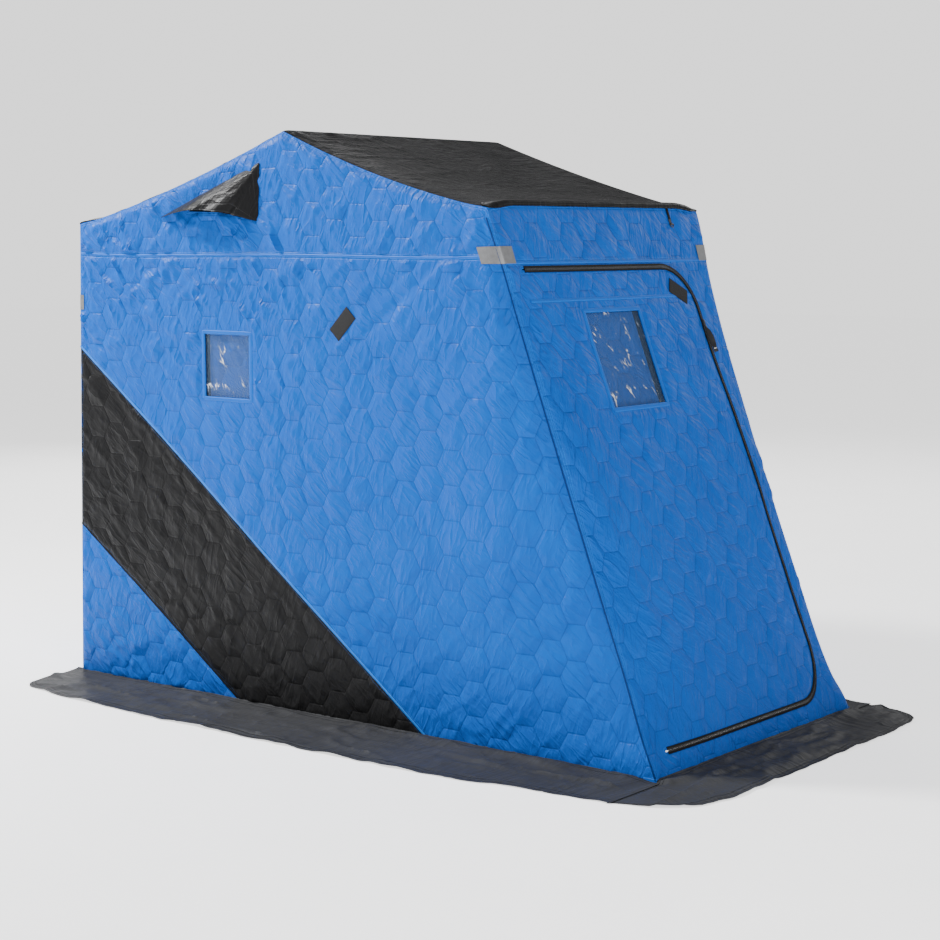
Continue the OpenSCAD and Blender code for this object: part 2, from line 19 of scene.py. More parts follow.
import bmesh
import bpy
import numpy as np
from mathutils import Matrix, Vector


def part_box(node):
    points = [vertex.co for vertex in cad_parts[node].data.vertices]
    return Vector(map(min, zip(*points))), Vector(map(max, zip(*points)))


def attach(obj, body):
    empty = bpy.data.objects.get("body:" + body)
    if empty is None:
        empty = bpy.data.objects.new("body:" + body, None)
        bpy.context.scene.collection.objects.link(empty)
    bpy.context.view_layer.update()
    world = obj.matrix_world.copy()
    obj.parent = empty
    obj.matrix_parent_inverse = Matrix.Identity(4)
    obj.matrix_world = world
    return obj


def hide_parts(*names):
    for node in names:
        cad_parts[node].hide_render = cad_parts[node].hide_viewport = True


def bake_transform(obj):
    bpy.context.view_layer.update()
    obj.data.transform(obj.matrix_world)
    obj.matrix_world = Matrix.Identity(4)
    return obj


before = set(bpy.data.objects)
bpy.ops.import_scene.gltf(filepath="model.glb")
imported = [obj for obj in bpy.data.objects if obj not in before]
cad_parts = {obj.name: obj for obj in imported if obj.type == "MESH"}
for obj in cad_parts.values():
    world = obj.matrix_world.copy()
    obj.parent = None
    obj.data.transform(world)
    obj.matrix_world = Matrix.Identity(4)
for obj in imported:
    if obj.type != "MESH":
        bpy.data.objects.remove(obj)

LOG = logging.getLogger("shelter")
MM = 0.001

Array = np.ndarray
Point = tuple[float, float]
Socket = bpy.types.NodeSocket

# Heights of the reflective tapes' middles and half the width that they press flat, in millimetres.
FRONT_TAPE_Z = 1454.0
REAR_TAPE_Z = 1285.0
TAPE_PRESS = 29.0


# ---- Small helpers ----


def unit(v: Array) -> Array:
    """Returns v at length one."""
    return v / np.linalg.norm(v)


def ease(t: Array | float) -> Array:
    """Returns a smooth step of t from 0 at 0 to 1 at 1."""
    t = np.clip(t, 0.0, 1.0)
    return t * t * (3.0 - 2.0 * t)


def over_zero(d: Array, soft: Array | float) -> Array:
    """Returns d where it is well over 0 and nearly 0 where it is well under, with a bend as wide as soft."""
    return (np.sqrt(d * d + soft * soft) + d) / 2


def smooth_curve(x: Array | float, knots: Sequence[float], values: Sequence[float]) -> Array:
    """Reads a curve that runs through knots without overshooting.

    Args:
        x: Where to read the curve.
        knots: Rising positions.
        values: The curve's value at each knot.

    Returns:
        The curve's value at each x, held at its end values outside the knots.
    """
    k, v = np.asarray(knots, float), np.asarray(values, float)
    slope = np.diff(v) / np.diff(k)
    tangent = np.zeros_like(v)
    same_way = slope[:-1] * slope[1:] > 0
    before, after = slope[:-1][same_way], slope[1:][same_way]
    tangent[1:-1][same_way] = 2 * before * after / (before + after)
    i = np.clip(np.searchsorted(k, x, side="right") - 1, 0, len(k) - 2)
    w = k[i + 1] - k[i]
    t = np.clip((x - k[i]) / w, 0.0, 1.0)
    rise = t * t * (3 - 2 * t)
    return (
        v[i] * (1 - rise) + v[i + 1] * rise
        + w * t * (1 - t) * ((1 - t) * tangent[i] - t * tangent[i + 1])
    )


def scatter(i: Array, j: Array, seed: int) -> Array:
    """Returns an even-looking number from 0 to 1 for each whole-number pair, the same one each run."""
    n = i.astype(np.int64) * 374761393 + j.astype(np.int64) * 668265263 + seed * 974634777
    n = (n ^ (n >> 13)) * 1274126177
    return ((n ^ (n >> 16)) & 0xFFFF) / 65535.0


def wander(a: Array, b: Array, size: float, seed: int) -> Array:
    """Returns smooth random height from -1 to 1 over flat coordinates.

    Args:
        a: First coordinate.
        b: Second coordinate.
        size: Distance from one random value to the next, in the same unit.
        seed: Picks one of many such surfaces.
    """
    p, q = a / size, b / size
    i, j = np.floor(p), np.floor(q)
    s, t = ease(p - i), ease(q - j)
    low = scatter(i, j, seed) * (1 - s) + scatter(i + 1, j, seed) * s
    high = scatter(i, j + 1, seed) * (1 - s) + scatter(i + 1, j + 1, seed) * s
    return 2 * (low * (1 - t) + high * t) - 1


def ridges(a: Array, b: Array, size: float, angle: float, stretch: float, seed: int) -> Array:
    """Returns thin random creases, 1 on a crease and falling to 0 beside it.

    Args:
        a: First flat coordinate.
        b: Second flat coordinate.
        size: Spacing of the creases.
        angle: Direction in which they run, in degrees.
        stretch: How many times longer they are than they are far apart.
        seed: Picks one of many such patterns.
    """
    c, s = math.cos(math.radians(angle)), math.sin(math.radians(angle))
    along, across = (a * c + b * s) / stretch, -a * s + b * c
    field_ = wander(along, across, size, seed) + 0.4 * wander(along, across, size * 0.45, seed + 7)
    return np.maximum(0.0, 1 - np.abs(field_) * 2.6) ** 2


def segment_distance(a: Array, b: Array, p: Array, q: Array) -> tuple[Array, Array]:
    """Measures points against one straight segment.

    Args:
        a: First coordinate of the points.
        b: Second coordinate of the points.
        p: The segment's start.
        q: The segment's end.

    Returns:
        The distance from each point to the segment, and how far along it the nearest place is.
    """
    d = q - p
    length = float(np.linalg.norm(d))
    t = np.clip(((a - p[0]) * d[0] + (b - p[1]) * d[1]) / length**2, 0, 1)
    return np.hypot(a - p[0] - t * d[0], b - p[1] - t * d[1]), t * length


def path_distance(a: Array, b: Array, path: Array) -> tuple[Array, Array]:
    """Measures points against a path of straight segments, as segment_distance does for one."""
    best, along = np.full(a.shape, 1e9), np.zeros(a.shape)
    run = 0.0
    for p, q in zip(path[:-1], path[1:]):
        d, t = segment_distance(a, b, p, q)
        nearer = d < best
        best, along = np.where(nearer, d, best), np.where(nearer, t + run, along)
        run += float(np.linalg.norm(q - p))
    return best, along


def resample(path: Array, step: float) -> Array:
    """Returns the path again with points about step apart, its corners kept."""
    out = [path[0]]
    for p, q in zip(path[:-1], path[1:]):
        n = max(1, round(float(np.linalg.norm(q - p)) / step))
        out += [p + (q - p) * k / n for k in range(1, n + 1)]
    return np.array(out)


def arc(centre: Array, r: float, start: float, end: float, steps: int = 14) -> Array:
    """Returns points on an arc about centre, from the start angle to the end angle in degrees."""
    angles = np.radians(np.linspace(start, end, steps + 1))
    return centre + r * np.stack([np.cos(angles), np.sin(angles)], axis=1)


def inside_convex(a: Array, b: Array, outline: Array) -> Array:
    """Returns which points lie inside a convex outline that runs anticlockwise."""
    ok = np.ones(a.shape, bool)
    for p, q in zip(outline, np.roll(outline, -1, axis=0)):
        ok &= (q[0] - p[0]) * (b - p[1]) - (q[1] - p[1]) * (a - p[0]) > 0
    return ok


def rectangle(left: float, low: float, right: float, high: float) -> Array:
    """Returns a rectangle's corners, anticlockwise."""
    return np.array([[left, low], [right, low], [right, high], [left, high]], float)


def span(a0: float, b0: float, a1: float, b1: float) -> Array:
    """Returns a straight path from one flat point to another."""
    return np.array([[a0, b0], [a1, b1]], float)


def closed(outline: Array) -> Array:
    """Returns an outline as a path that ends where it starts."""
    return np.vstack([outline, outline[:1]])


def run_along(path: Array) -> Array:
    """Returns the distance along a path at each of its points."""
    return np.concatenate([[0], np.cumsum(np.linalg.norm(np.diff(path, axis=0), axis=1))])


def patch_line(middle: Array, angle: float) -> Array:
    """Returns the middle line of a 98 mm hook-and-loop patch that lies at an angle in degrees."""
    way = np.array([math.cos(math.radians(angle)), math.sin(math.radians(angle))])
    return np.array([middle + way * s for s in (-49, 49)])


# ---- Colours and shader nodes ----


def linear(hex_colour: str) -> tuple[float, float, float, float]:
    """Turns an sRGB hex colour such as "#2f74c6" into linear red, green, blue and alpha."""
    parts = [int(hex_colour[i : i + 2], 16) / 255 for i in (1, 3, 5)]
    r, g, b = (c / 12.92 if c <= 0.04045 else ((c + 0.055) / 1.055) ** 2.4 for c in parts)
    return r, g, b, 1.0


def add_node(tree: bpy.types.NodeTree, kind: str, inputs: dict | None = None, **settings) -> bpy.types.Node:
    """Adds a shader node with its settings and links.

    Args:
        tree: The material's node tree.
        kind: The node's type, without its ShaderNode prefix.
        inputs: What goes into each socket, by name or number: a value, or another node's output.
        **settings: The node's own properties.

    Returns:
        The new node.
    """
    node = tree.nodes.new("ShaderNode" + kind)
    for name, value in settings.items():
        setattr(node, name, value)
    for name, value in (inputs or {}).items():
        socket = node.inputs[name]
        if isinstance(value, bpy.types.NodeSocket):
            tree.links.new(value, socket)
        else:
            socket.default_value = value
    return node


@dataclass(frozen=True)
class Finish(ABC):
    """One surface finish, which makes one Blender material.

    Attributes:
        name: The material's name, for what the real one is and how its surface was made.
    """

    name: str

    def material(self) -> bpy.types.Material:
        """Returns the material, made the first time that it is asked for."""
        found = bpy.data.materials.get(self.name)
        if found:
            return found
        made = bpy.data.materials.new(self.name)
        made.use_nodes = True
        tree = made.node_tree
        self.wire(tree, tree.nodes["Principled BSDF"])
        return made

    @abstractmethod
    def wire(self, tree: bpy.types.NodeTree, shader: bpy.types.Node) -> None:
        """Adds the finish's nodes.

        Args:
            tree: The new material's node tree.
            shader: Its principled shader.
        """


@dataclass(frozen=True)
class Cloth(Finish):
    """Woven polyester or nylon cloth, with creases that follow the cut cloth's own coordinates.

    Attributes:
        light: Colour where the dye and the coating catch more light.
        deep: Colour elsewhere.
        roughness: Of the coated face.
        sheen: Strength of the soft edge glow of the weave.
        crinkle: Height in millimetres of the small crumples.
        crinkle_size: Their size in millimetres.
        streak: Height in millimetres of the long creases.
        streak_size: Their spacing in millimetres.
        streak_angle: Their direction on the cloth, in degrees.
        streak_stretch: How many times longer than wide they are.
        groove: Depth in millimetres of the quilting's sewn lines, which also get painted shade.
        pucker: Height in millimetres of the gathers along a sewn edge.
        rows: Distances in millimetres of the rows of stitches from the sewn edge.
        thread: Colour of the stitches.
        gloss: Specular level of the coated face.
    """

    light: str
    deep: str
    roughness: float = 0.5
    sheen: float = 0.15
    crinkle: float = 0.5
    crinkle_size: float = 22.0
    streak: float = 0.6
    streak_size: float = 30.0
    streak_angle: float = -35.0
    streak_stretch: float = 4.0
    groove: float = 0.0
    pucker: float = 0.8
    rows: tuple[float, ...] = (3.0,)
    thread: str = "#2a62a6"
    gloss: float = 0.11

    def wire(self, tree: bpy.types.NodeTree, shader: bpy.types.Node) -> None:
        """Adds the finish's nodes, as the base class says."""
        flat = add_node(tree, "UVMap", uv_map="flat").outputs["UV"]
        off = add_node(tree, "Attribute", attribute_name="seam_off").outputs["Fac"]
        along = add_node(tree, "Attribute", attribute_name="seam_along").outputs["Fac"]
        crumple = add_node(tree, "TexNoise", {
            "Vector": flat, "Scale": 1000 / self.crinkle_size, "Detail": 4, "Roughness": 0.62, "Distortion": 0.5,
        }).outputs["Fac"]
        small = add_node(tree, "Math", {0: crumple, 1: self.crinkle}, operation="MULTIPLY").outputs[0]
        streaks = self._streaks(tree, flat)
        height = add_node(tree, "Math", {0: streaks, 1: self.streak}, operation="MULTIPLY").outputs[0]
        for more in (small, self._gathers(tree, off, along)):
            height = add_node(tree, "Math", {0: height, 1: more}, operation="ADD").outputs[0]
        tone = add_node(
            tree, "TexNoise", {"Vector": flat, "Scale": 5.0, "Detail": 3, "Roughness": 0.6}
        ).outputs["Fac"]
        colour = add_node(
            tree, "Mix", {"Factor": tone, "A": linear(self.deep), "B": linear(self.light)}, data_type="RGBA"
        ).outputs["Result"]
        if self.groove:
            height, colour = self._quilting(tree, height, colour)
        height, colour = self._stitches(tree, off, along, height, colour)
        bump = add_node(tree, "Bump", {"Height": height, "Distance": MM, "Strength": 1.0})
        rough = add_node(
            tree, "MapRange", {0: crumple, 1: 0.3, 2: 0.7, 3: self.roughness - 0.06, 4: self.roughness + 0.06}
        ).outputs[0]
        tree.links.new(colour, shader.inputs["Base Color"])
        tree.links.new(rough, shader.inputs["Roughness"])
        tree.links.new(bump.outputs["Normal"], shader.inputs["Normal"])
        shader.inputs["Sheen Weight"].default_value = self.sheen
        shader.inputs["Sheen Roughness"].default_value = 0.5
        shader.inputs["Specular IOR Level"].default_value = self.gloss

    def _streaks(self, tree: bpy.types.NodeTree, flat: Socket) -> Socket:
        """Adds long creases: noise stretched along two directions, each ruling in its own patches.

        Args:
            tree: The material's node tree.
            flat: The cut cloth's own coordinates.

        Returns:
            The creases' height, from 0 to 1.
        """
        layers = []
        for angle in (self.streak_angle, self.streak_angle + 112):
            turned = add_node(tree, "Mapping", {
                "Vector": flat, "Rotation": (0, 0, math.radians(angle)), "Scale": (self.streak_stretch, 1, 1),
            }, vector_type="TEXTURE").outputs["Vector"]
            away = add_node(tree, "TexNoise", {
                "Vector": turned, "Scale": 1000 / self.streak_size, "Detail": 3, "Roughness": 0.5,
                "Distortion": 0.3,
            }).outputs["Fac"]
            # A thin ridge stands wherever the noise passes its middle.
            for kind, value in (("SUBTRACT", 0.5), ("ABSOLUTE", 0.0), ("MULTIPLY", 4.0)):
                away = add_node(tree, "Math", {0: away, 1: value}, operation=kind).outputs[0]
            ridge = add_node(tree, "Math", {0: 1.0, 1: away}, operation="SUBTRACT", use_clamp=True).outputs[0]
            layers.append(add_node(tree, "Math", {0: ridge, 1: 2.5}, operation="POWER").outputs[0])
        patchy = add_node(tree, "TexNoise", {"Vector": flat, "Scale": 3.6, "Detail": 2}).outputs["Fac"]
        rule = add_node(tree, "MapRange", {0: patchy, 1: 0.42, 2: 0.58, 3: 0.12, 4: 0.88}).outputs[0]
        return add_node(tree, "Mix", {0: rule, 2: layers[0], 3: layers[1]}, data_type="FLOAT").outputs[0]

    def _gathers(self, tree: bpy.types.NodeTree, off: Socket, along: Socket) -> Socket:
        """Adds gathers beside a sewn edge: noise squeezed along the edge, dying away from it.

        Args:
            tree: The material's node tree.
            off: Distance from the edge in millimetres.
            along: Place along the edge in millimetres.

        Returns:
            The gathers' height in millimetres.
        """
        tight = add_node(tree, "Math", {0: along, 1: 14.0}, operation="DIVIDE").outputs[0]
        loose = add_node(tree, "Math", {0: off, 1: 60.0}, operation="DIVIDE").outputs[0]
        beside = add_node(tree, "CombineXYZ", {0: tight, 1: loose}).outputs[0]
        height = add_node(tree, "TexNoise", {"Vector": beside, "Scale": 1.0, "Detail": 2}).outputs["Fac"]
        fade = add_node(tree, "Math", {0: off, 1: -32.0}, operation="DIVIDE").outputs[0]
        fade = add_node(tree, "Math", {0: 2.718, 1: fade}, operation="POWER").outputs[0]
        for value in (fade, self.pucker * 2):
            height = add_node(tree, "Math", {0: height, 1: value}, operation="MULTIPLY").outputs[0]
        return height

    def _quilting(self, tree: bpy.types.NodeTree, height: Socket, colour: Socket) -> tuple[Socket, Socket]:
        """Sinks the cloth along the quilting's sewn lines and darkens its colour there as painted shade.

        Args:
            tree: The material's node tree.
            height: The cloth's height so far.
            colour: Its colour so far.

        Returns:
            The new height and colour.
        """
        stitch = add_node(tree, "Attribute", attribute_name="stitch").outputs["Fac"]
        clear = add_node(
            tree, "MapRange", {0: stitch, 1: 0.0, 2: 5.0, 3: 0.0, 4: 1.0}, interpolation_type="SMOOTHSTEP"
        ).outputs[0]
        proud = add_node(tree, "Math", {0: clear, 1: self.groove}, operation="MULTIPLY").outputs[0]
        # Painted shade: the colour falls to 0.72 of itself on the sewn lines, where the grooves' shadow lies.
        painted_groove_shade = add_node(tree, "MapRange", {0: stitch, 1: 0.0, 2: 2.6, 3: 0.72, 4: 1.0}).outputs[0]
        return add_node(tree, "Math", {0: height, 1: proud}, operation="ADD").outputs[0], add_node(
            tree, "Mix", {"Factor": 1.0, "A": colour, "B": painted_groove_shade}, data_type="RGBA", blend_type="MULTIPLY"
        ).outputs["Result"]

    def _stitches(
        self, tree: bpy.types.NodeTree, off: Socket, along: Socket, height: Socket, colour: Socket
    ) -> tuple[Socket, Socket]:
        """Adds the rows of stitches: dashes of thread 3 mm long with 1 mm between them.

        Args:
            tree: The material's node tree.
            off: Distance from the sewn edge in millimetres.
            along: Place along the edge in millimetres.
            height: The cloth's height so far.
            colour: Its colour so far.

        Returns:
            The new height and colour.
        """
        dash = along
        for kind, value in (("DIVIDE", 4.0), ("FRACT", 0.0), ("LESS_THAN", 0.75)):
            dash = add_node(tree, "Math", {0: dash, 1: value}, operation=kind).outputs[0]
        for row in self.rows:
            away = off
            for kind, value in (("SUBTRACT", row), ("ABSOLUTE", 0.0)):
                away = add_node(tree, "Math", {0: away, 1: value}, operation=kind).outputs[0]
            line = add_node(tree, "Math", {0: away, 1: 0.55}, operation="LESS_THAN").outputs[0]
            dashes = add_node(tree, "Math", {0: line, 1: dash}, operation="MULTIPLY").outputs[0]
            dip = add_node(
                tree, "MapRange", {0: away, 1: 0.4, 2: 2.4, 3: -0.7, 4: 0.0}, interpolation_type="SMOOTHSTEP"
            ).outputs[0]
            height = add_node(tree, "Math", {0: height, 1: dip}, operation="ADD").outputs[0]
            colour = add_node(
                tree, "Mix", {"Factor": dashes, "A": colour, "B": linear(self.thread)}, data_type="RGBA"
            ).outputs["Result"]
        return height, colour


@dataclass(frozen=True)
class Solid(Finish):
    """Plastic, metal or tape whose texture is a fine grain over Object coordinates.

    Attributes:
        light: Colour of the grain's high places.
        deep: Colour of its low places.
        roughness: Middle roughness.
        metallic: 1 on bare or galvanised metal.
        grain: Size of the grain in millimetres.
        relief: Height of the grain in millimetres.
        stretch: Scale of the grain along X, Y and Z, for drawn or woven surfaces.
        coat: Weight of a clear coat.
    """

    light: str
    deep: str
    roughness: float = 0.5
    metallic: float = 0.0
    grain: float = 3.0
    relief: float = 0.05
    stretch: tuple[float, float, float] = (1.0, 1.0, 1.0)
    coat: float = 0.0

    def wire(self, tree: bpy.types.NodeTree, shader: bpy.types.Node) -> None:
        """Adds the finish's nodes, as the base class says."""
        place = add_node(tree, "TexCoord").outputs["Object"]
        drawn = add_node(tree, "Mapping", {"Vector": place, "Scale": self.stretch}).outputs["Vector"]
        fine = add_node(
            tree, "TexNoise", {"Vector": drawn, "Scale": 1000 / self.grain, "Detail": 4.0, "Roughness": 0.6}
        ).outputs["Fac"]
        broad = add_node(
            tree, "TexNoise", {"Vector": drawn, "Scale": 120 / self.grain, "Detail": 3.0, "Roughness": 0.6}
        ).outputs["Fac"]
        both = add_node(tree, "Math", {0: fine, 1: broad}, operation="MULTIPLY").outputs[0]
        tone = add_node(tree, "MapRange", {0: both, 1: 0.12, 2: 0.4, 3: 0.0, 4: 1.0}).outputs[0]
        colour = add_node(
            tree, "Mix", {"Factor": tone, "A": linear(self.deep), "B": linear(self.light)}, data_type="RGBA"
        ).outputs["Result"]
        rough = add_node(
            tree, "MapRange", {0: broad, 1: 0.3, 2: 0.7, 3: self.roughness - 0.08, 4: self.roughness + 0.08}
        ).outputs[0]
        bump = add_node(tree, "Bump", {"Height": fine, "Distance": self.relief * MM, "Strength": 1.0})
        tree.links.new(colour, shader.inputs["Base Color"])
        tree.links.new(rough, shader.inputs["Roughness"])
        tree.links.new(bump.outputs["Normal"], shader.inputs["Normal"])
        shader.inputs["Metallic"].default_value = self.metallic
        shader.inputs["Coat Weight"].default_value = self.coat


@dataclass(frozen=True)
class ClearVinyl(Finish):
    """Flexible clear PVC, calendered smooth and then wrinkled in folding, with white lines painted on its
    creases as glints.
    """

    def wire(self, tree: bpy.types.NodeTree, shader: bpy.types.Node) -> None:
        """Adds the finish's nodes, as the base class says."""
        flat = add_node(tree, "UVMap", uv_map="flat").outputs["UV"]
        drawn = add_node(
            tree, "Mapping", {"Vector": flat, "Rotation": (0, 0, math.radians(-58)), "Scale": (3.6, 1, 1)},
            vector_type="TEXTURE",
        ).outputs["Vector"]
        ripple = add_node(
            tree, "TexNoise",
            {"Vector": drawn, "Scale": 26.0, "Detail": 3.0, "Roughness": 0.5, "Distortion": 0.5},
        ).outputs["Fac"]
        away = add_node(tree, "Math", {0: ripple, 1: 0.5}, operation="SUBTRACT").outputs[0]
        away = add_node(tree, "Math", {0: away}, operation="ABSOLUTE").outputs[0]
        line = add_node(tree, "MapRange", {0: away, 1: 0.0, 2: 0.02, 3: 1.0, 4: 0.0}).outputs[0]
        patchy = add_node(tree, "TexNoise", {"Vector": flat, "Scale": 22.0, "Detail": 3.0}).outputs["Fac"]
        patchy = add_node(tree, "MapRange", {0: patchy, 1: 0.53, 2: 0.64, 3: 0.0, 4: 1.0}).outputs[0]
        # Painted highlight: thin white, nearly opaque lines on the creases, partly the pale haze of creased
        # vinyl and partly glints painted in.
        painted_glint = add_node(tree, "Math", {0: line, 1: patchy}, operation="MULTIPLY").outputs[0]
        bump = add_node(tree, "Bump", {"Height": ripple, "Distance": 3 * MM, "Strength": 1.0})
        alpha = add_node(tree, "MapRange", {0: painted_glint, 1: 0.0, 2: 1.0, 3: 0.2, 4: 0.85}).outputs[0]
        colour = add_node(
            tree, "Mix", {"Factor": painted_glint, "A": linear("#4a6488"), "B": linear("#ffffff")}, data_type="RGBA"
        ).outputs["Result"]
        tree.links.new(colour, shader.inputs["Base Color"])
        tree.links.new(alpha, shader.inputs["Alpha"])
        tree.links.new(bump.outputs["Normal"], shader.inputs["Normal"])
        shader.inputs["Roughness"].default_value = 0.12
        shader.inputs["IOR"].default_value = 1.53
        shader.inputs["Coat Weight"].default_value = 0.6


# Satin-faced polyester taffeta over batting, sewn in hexagons: bright where it faces the light.
BLUE_QUILT = Cloth("quilted_blue_taffeta", "#005cc0", "#004da8", 0.48, 0.0, 1.6, 22, 3.0, 34, -38, 4, 1.1,
                   1.6, (3.0, 9.0), "#1a6fd0")
# The same cloth dyed black, whose stitches are blue like the rest of the shelter's thread.
BLACK_QUILT = Cloth("quilted_black_taffeta", "#1d1d1e", "#151516", 0.46, 0.0, 1.3, 26, 2.2, 40, -38, 4, 1.1,
                    1.2, (3.0, 9.0), "#20406c")
# Unfaced woven backing on the inside, dull and plain.
LINING = Cloth("woven_charcoal_lining", "#2c2d30", "#212226", 0.8, 0.0, 0.4, 20, 0.3, 40, 0, 3, 0.8, 0.5)
# PVC-coated oxford on the roof: a crackled, dusty face with long crumples across the slope.
ROOF_CLOTH = Cloth("coated_charcoal_oxford", "#29292a", "#18181a", 0.55, 0.0, 2.2, 16, 3.6, 30, 90, 4, 0.0,
                   0.8, (4.0,), "#0b0b0b")
# Smooth coated binding, folded over the eaves.
BINDING = Cloth("coated_black_binding", "#131314", "#0d0d0e", 0.42, 0.0, 0.3, 16, 0.6, 24, 0, 4, 0.0,
                0.9, (3.0,), "#0b0b0b")
# Heavy coated skirt cloth, satiny and soft-creased.
SKIRT_CLOTH = Cloth("coated_charcoal_skirt_cloth", "#3f4042", "#2d2d2f", 0.55, 0.0, 1.4, 34, 2.6, 46, 0, 5,
                    0.0, 1.2, (4.0, 9.0), "#0f0f10")
# Lighter coated cloth of the vent hoods, shiny where it bends over.
HOOD_CLOTH = Cloth("coated_charcoal_hood_cloth", "#1c1c1d", "#131314", 0.44, 0.0, 0.8, 26, 1.4, 30, 70, 4,
                   0.0, 0.7, (3.0, 19.0), "#2c2c2e")
# Narrow woven tapes over the seams: the wall's blue, a paler one beside the dark band, navy and black. The navy
# one's dark colour is also painted shade along the front corners' seams.
BLUE_TAPE = Cloth("woven_blue_binding", "#0562c8", "#0052b0", 0.48, 0.0, 0.3, 9, 0.3, 14, 90, 2, 0.0,
                  0.5, (1.4,), "#1a6fd0")
PALE_TAPE = Cloth("woven_light_blue_piping", "#1f7ade", "#0f66c8", 0.48, 0.0, 0.2, 8, 0.1, 12, 90, 2, 0.0,
                  0.3, (1.4,), "#2f86e4")
NAVY_WELT_AND_SEAM_SHADE = Cloth("navy_welt_with_painted_seam_shade", "#0a2f66", "#06234e", 0.55, 0.0, 0.3, 8, 0.2, 12, 90, 2, 0.0,
                  0.6, (1.2,), "#0a3a80")
BLACK_TAPE = Cloth("woven_black_tape", "#161617", "#0d0d0e", 0.6, 0.0, 0.12, 5, 0.1, 8, 90, 2, 0.0,
                   0.15, (2.0,), "#1c1c1e")
# Looped pile, so deep and matt that it takes nearly all light.
HOOK_TAPE = Solid("hook_and_loop_pile", "#202021", "#0e0e0f", 0.95, 0, 1.1, 0.7)
# Glass beads bonded to grey tape: even grey with a faint metal glow.
REFLECTIVE = Solid("glass_bead_reflective_tape", "#7d7e80", "#6a6b6d", 0.45, 0.2, 1.6, 0.06)
# Clear sheet that shows the blind behind it between white crease lines, partly the haze of creased vinyl and
# partly painted highlight.
VINYL = ClearVinyl("calendered_clear_vinyl")
# Zinc spangle over drawn steel tube, dull with slow changes of tone.
GALVANISED = Solid("galvanised_steel_tube", "#b5b9bb", "#8b9194", 0.42, 1.0, 5, 0.03)
# Moulded nylon with a fine spark-eroded grain.
NYLON = Solid("moulded_black_nylon", "#232325", "#161617", 0.48, 0, 0.9, 0.06)
# Smooth coil, a little brighter than its tape.
COIL = Solid("moulded_zip_coil", "#3a3a3c", "#1c1c1d", 0.38, 0, 0.8, 0.03)
# Knitted screen: open, dark and matt, its holes drawn coarse enough to show.
MESH = Solid("knitted_insect_mesh", "#2a2a2b", "#0b0b0b", 0.8, 0, 1.6, 0.4)
# Bulky white thread, packed side by side.
WHITE_THREAD = Solid("bar_tack_thread", "#e9e8e3", "#c9c8c2", 0.7, 0, 0.7, 0.2)
# Matt paint with no grain that shows.
FLOOR_PAINT = Solid("matt_studio_floor", "#f7f7f7", "#f1f1f1", 0.9, 0, 40, 0.0)


# ---- The shelter's surfaces ----


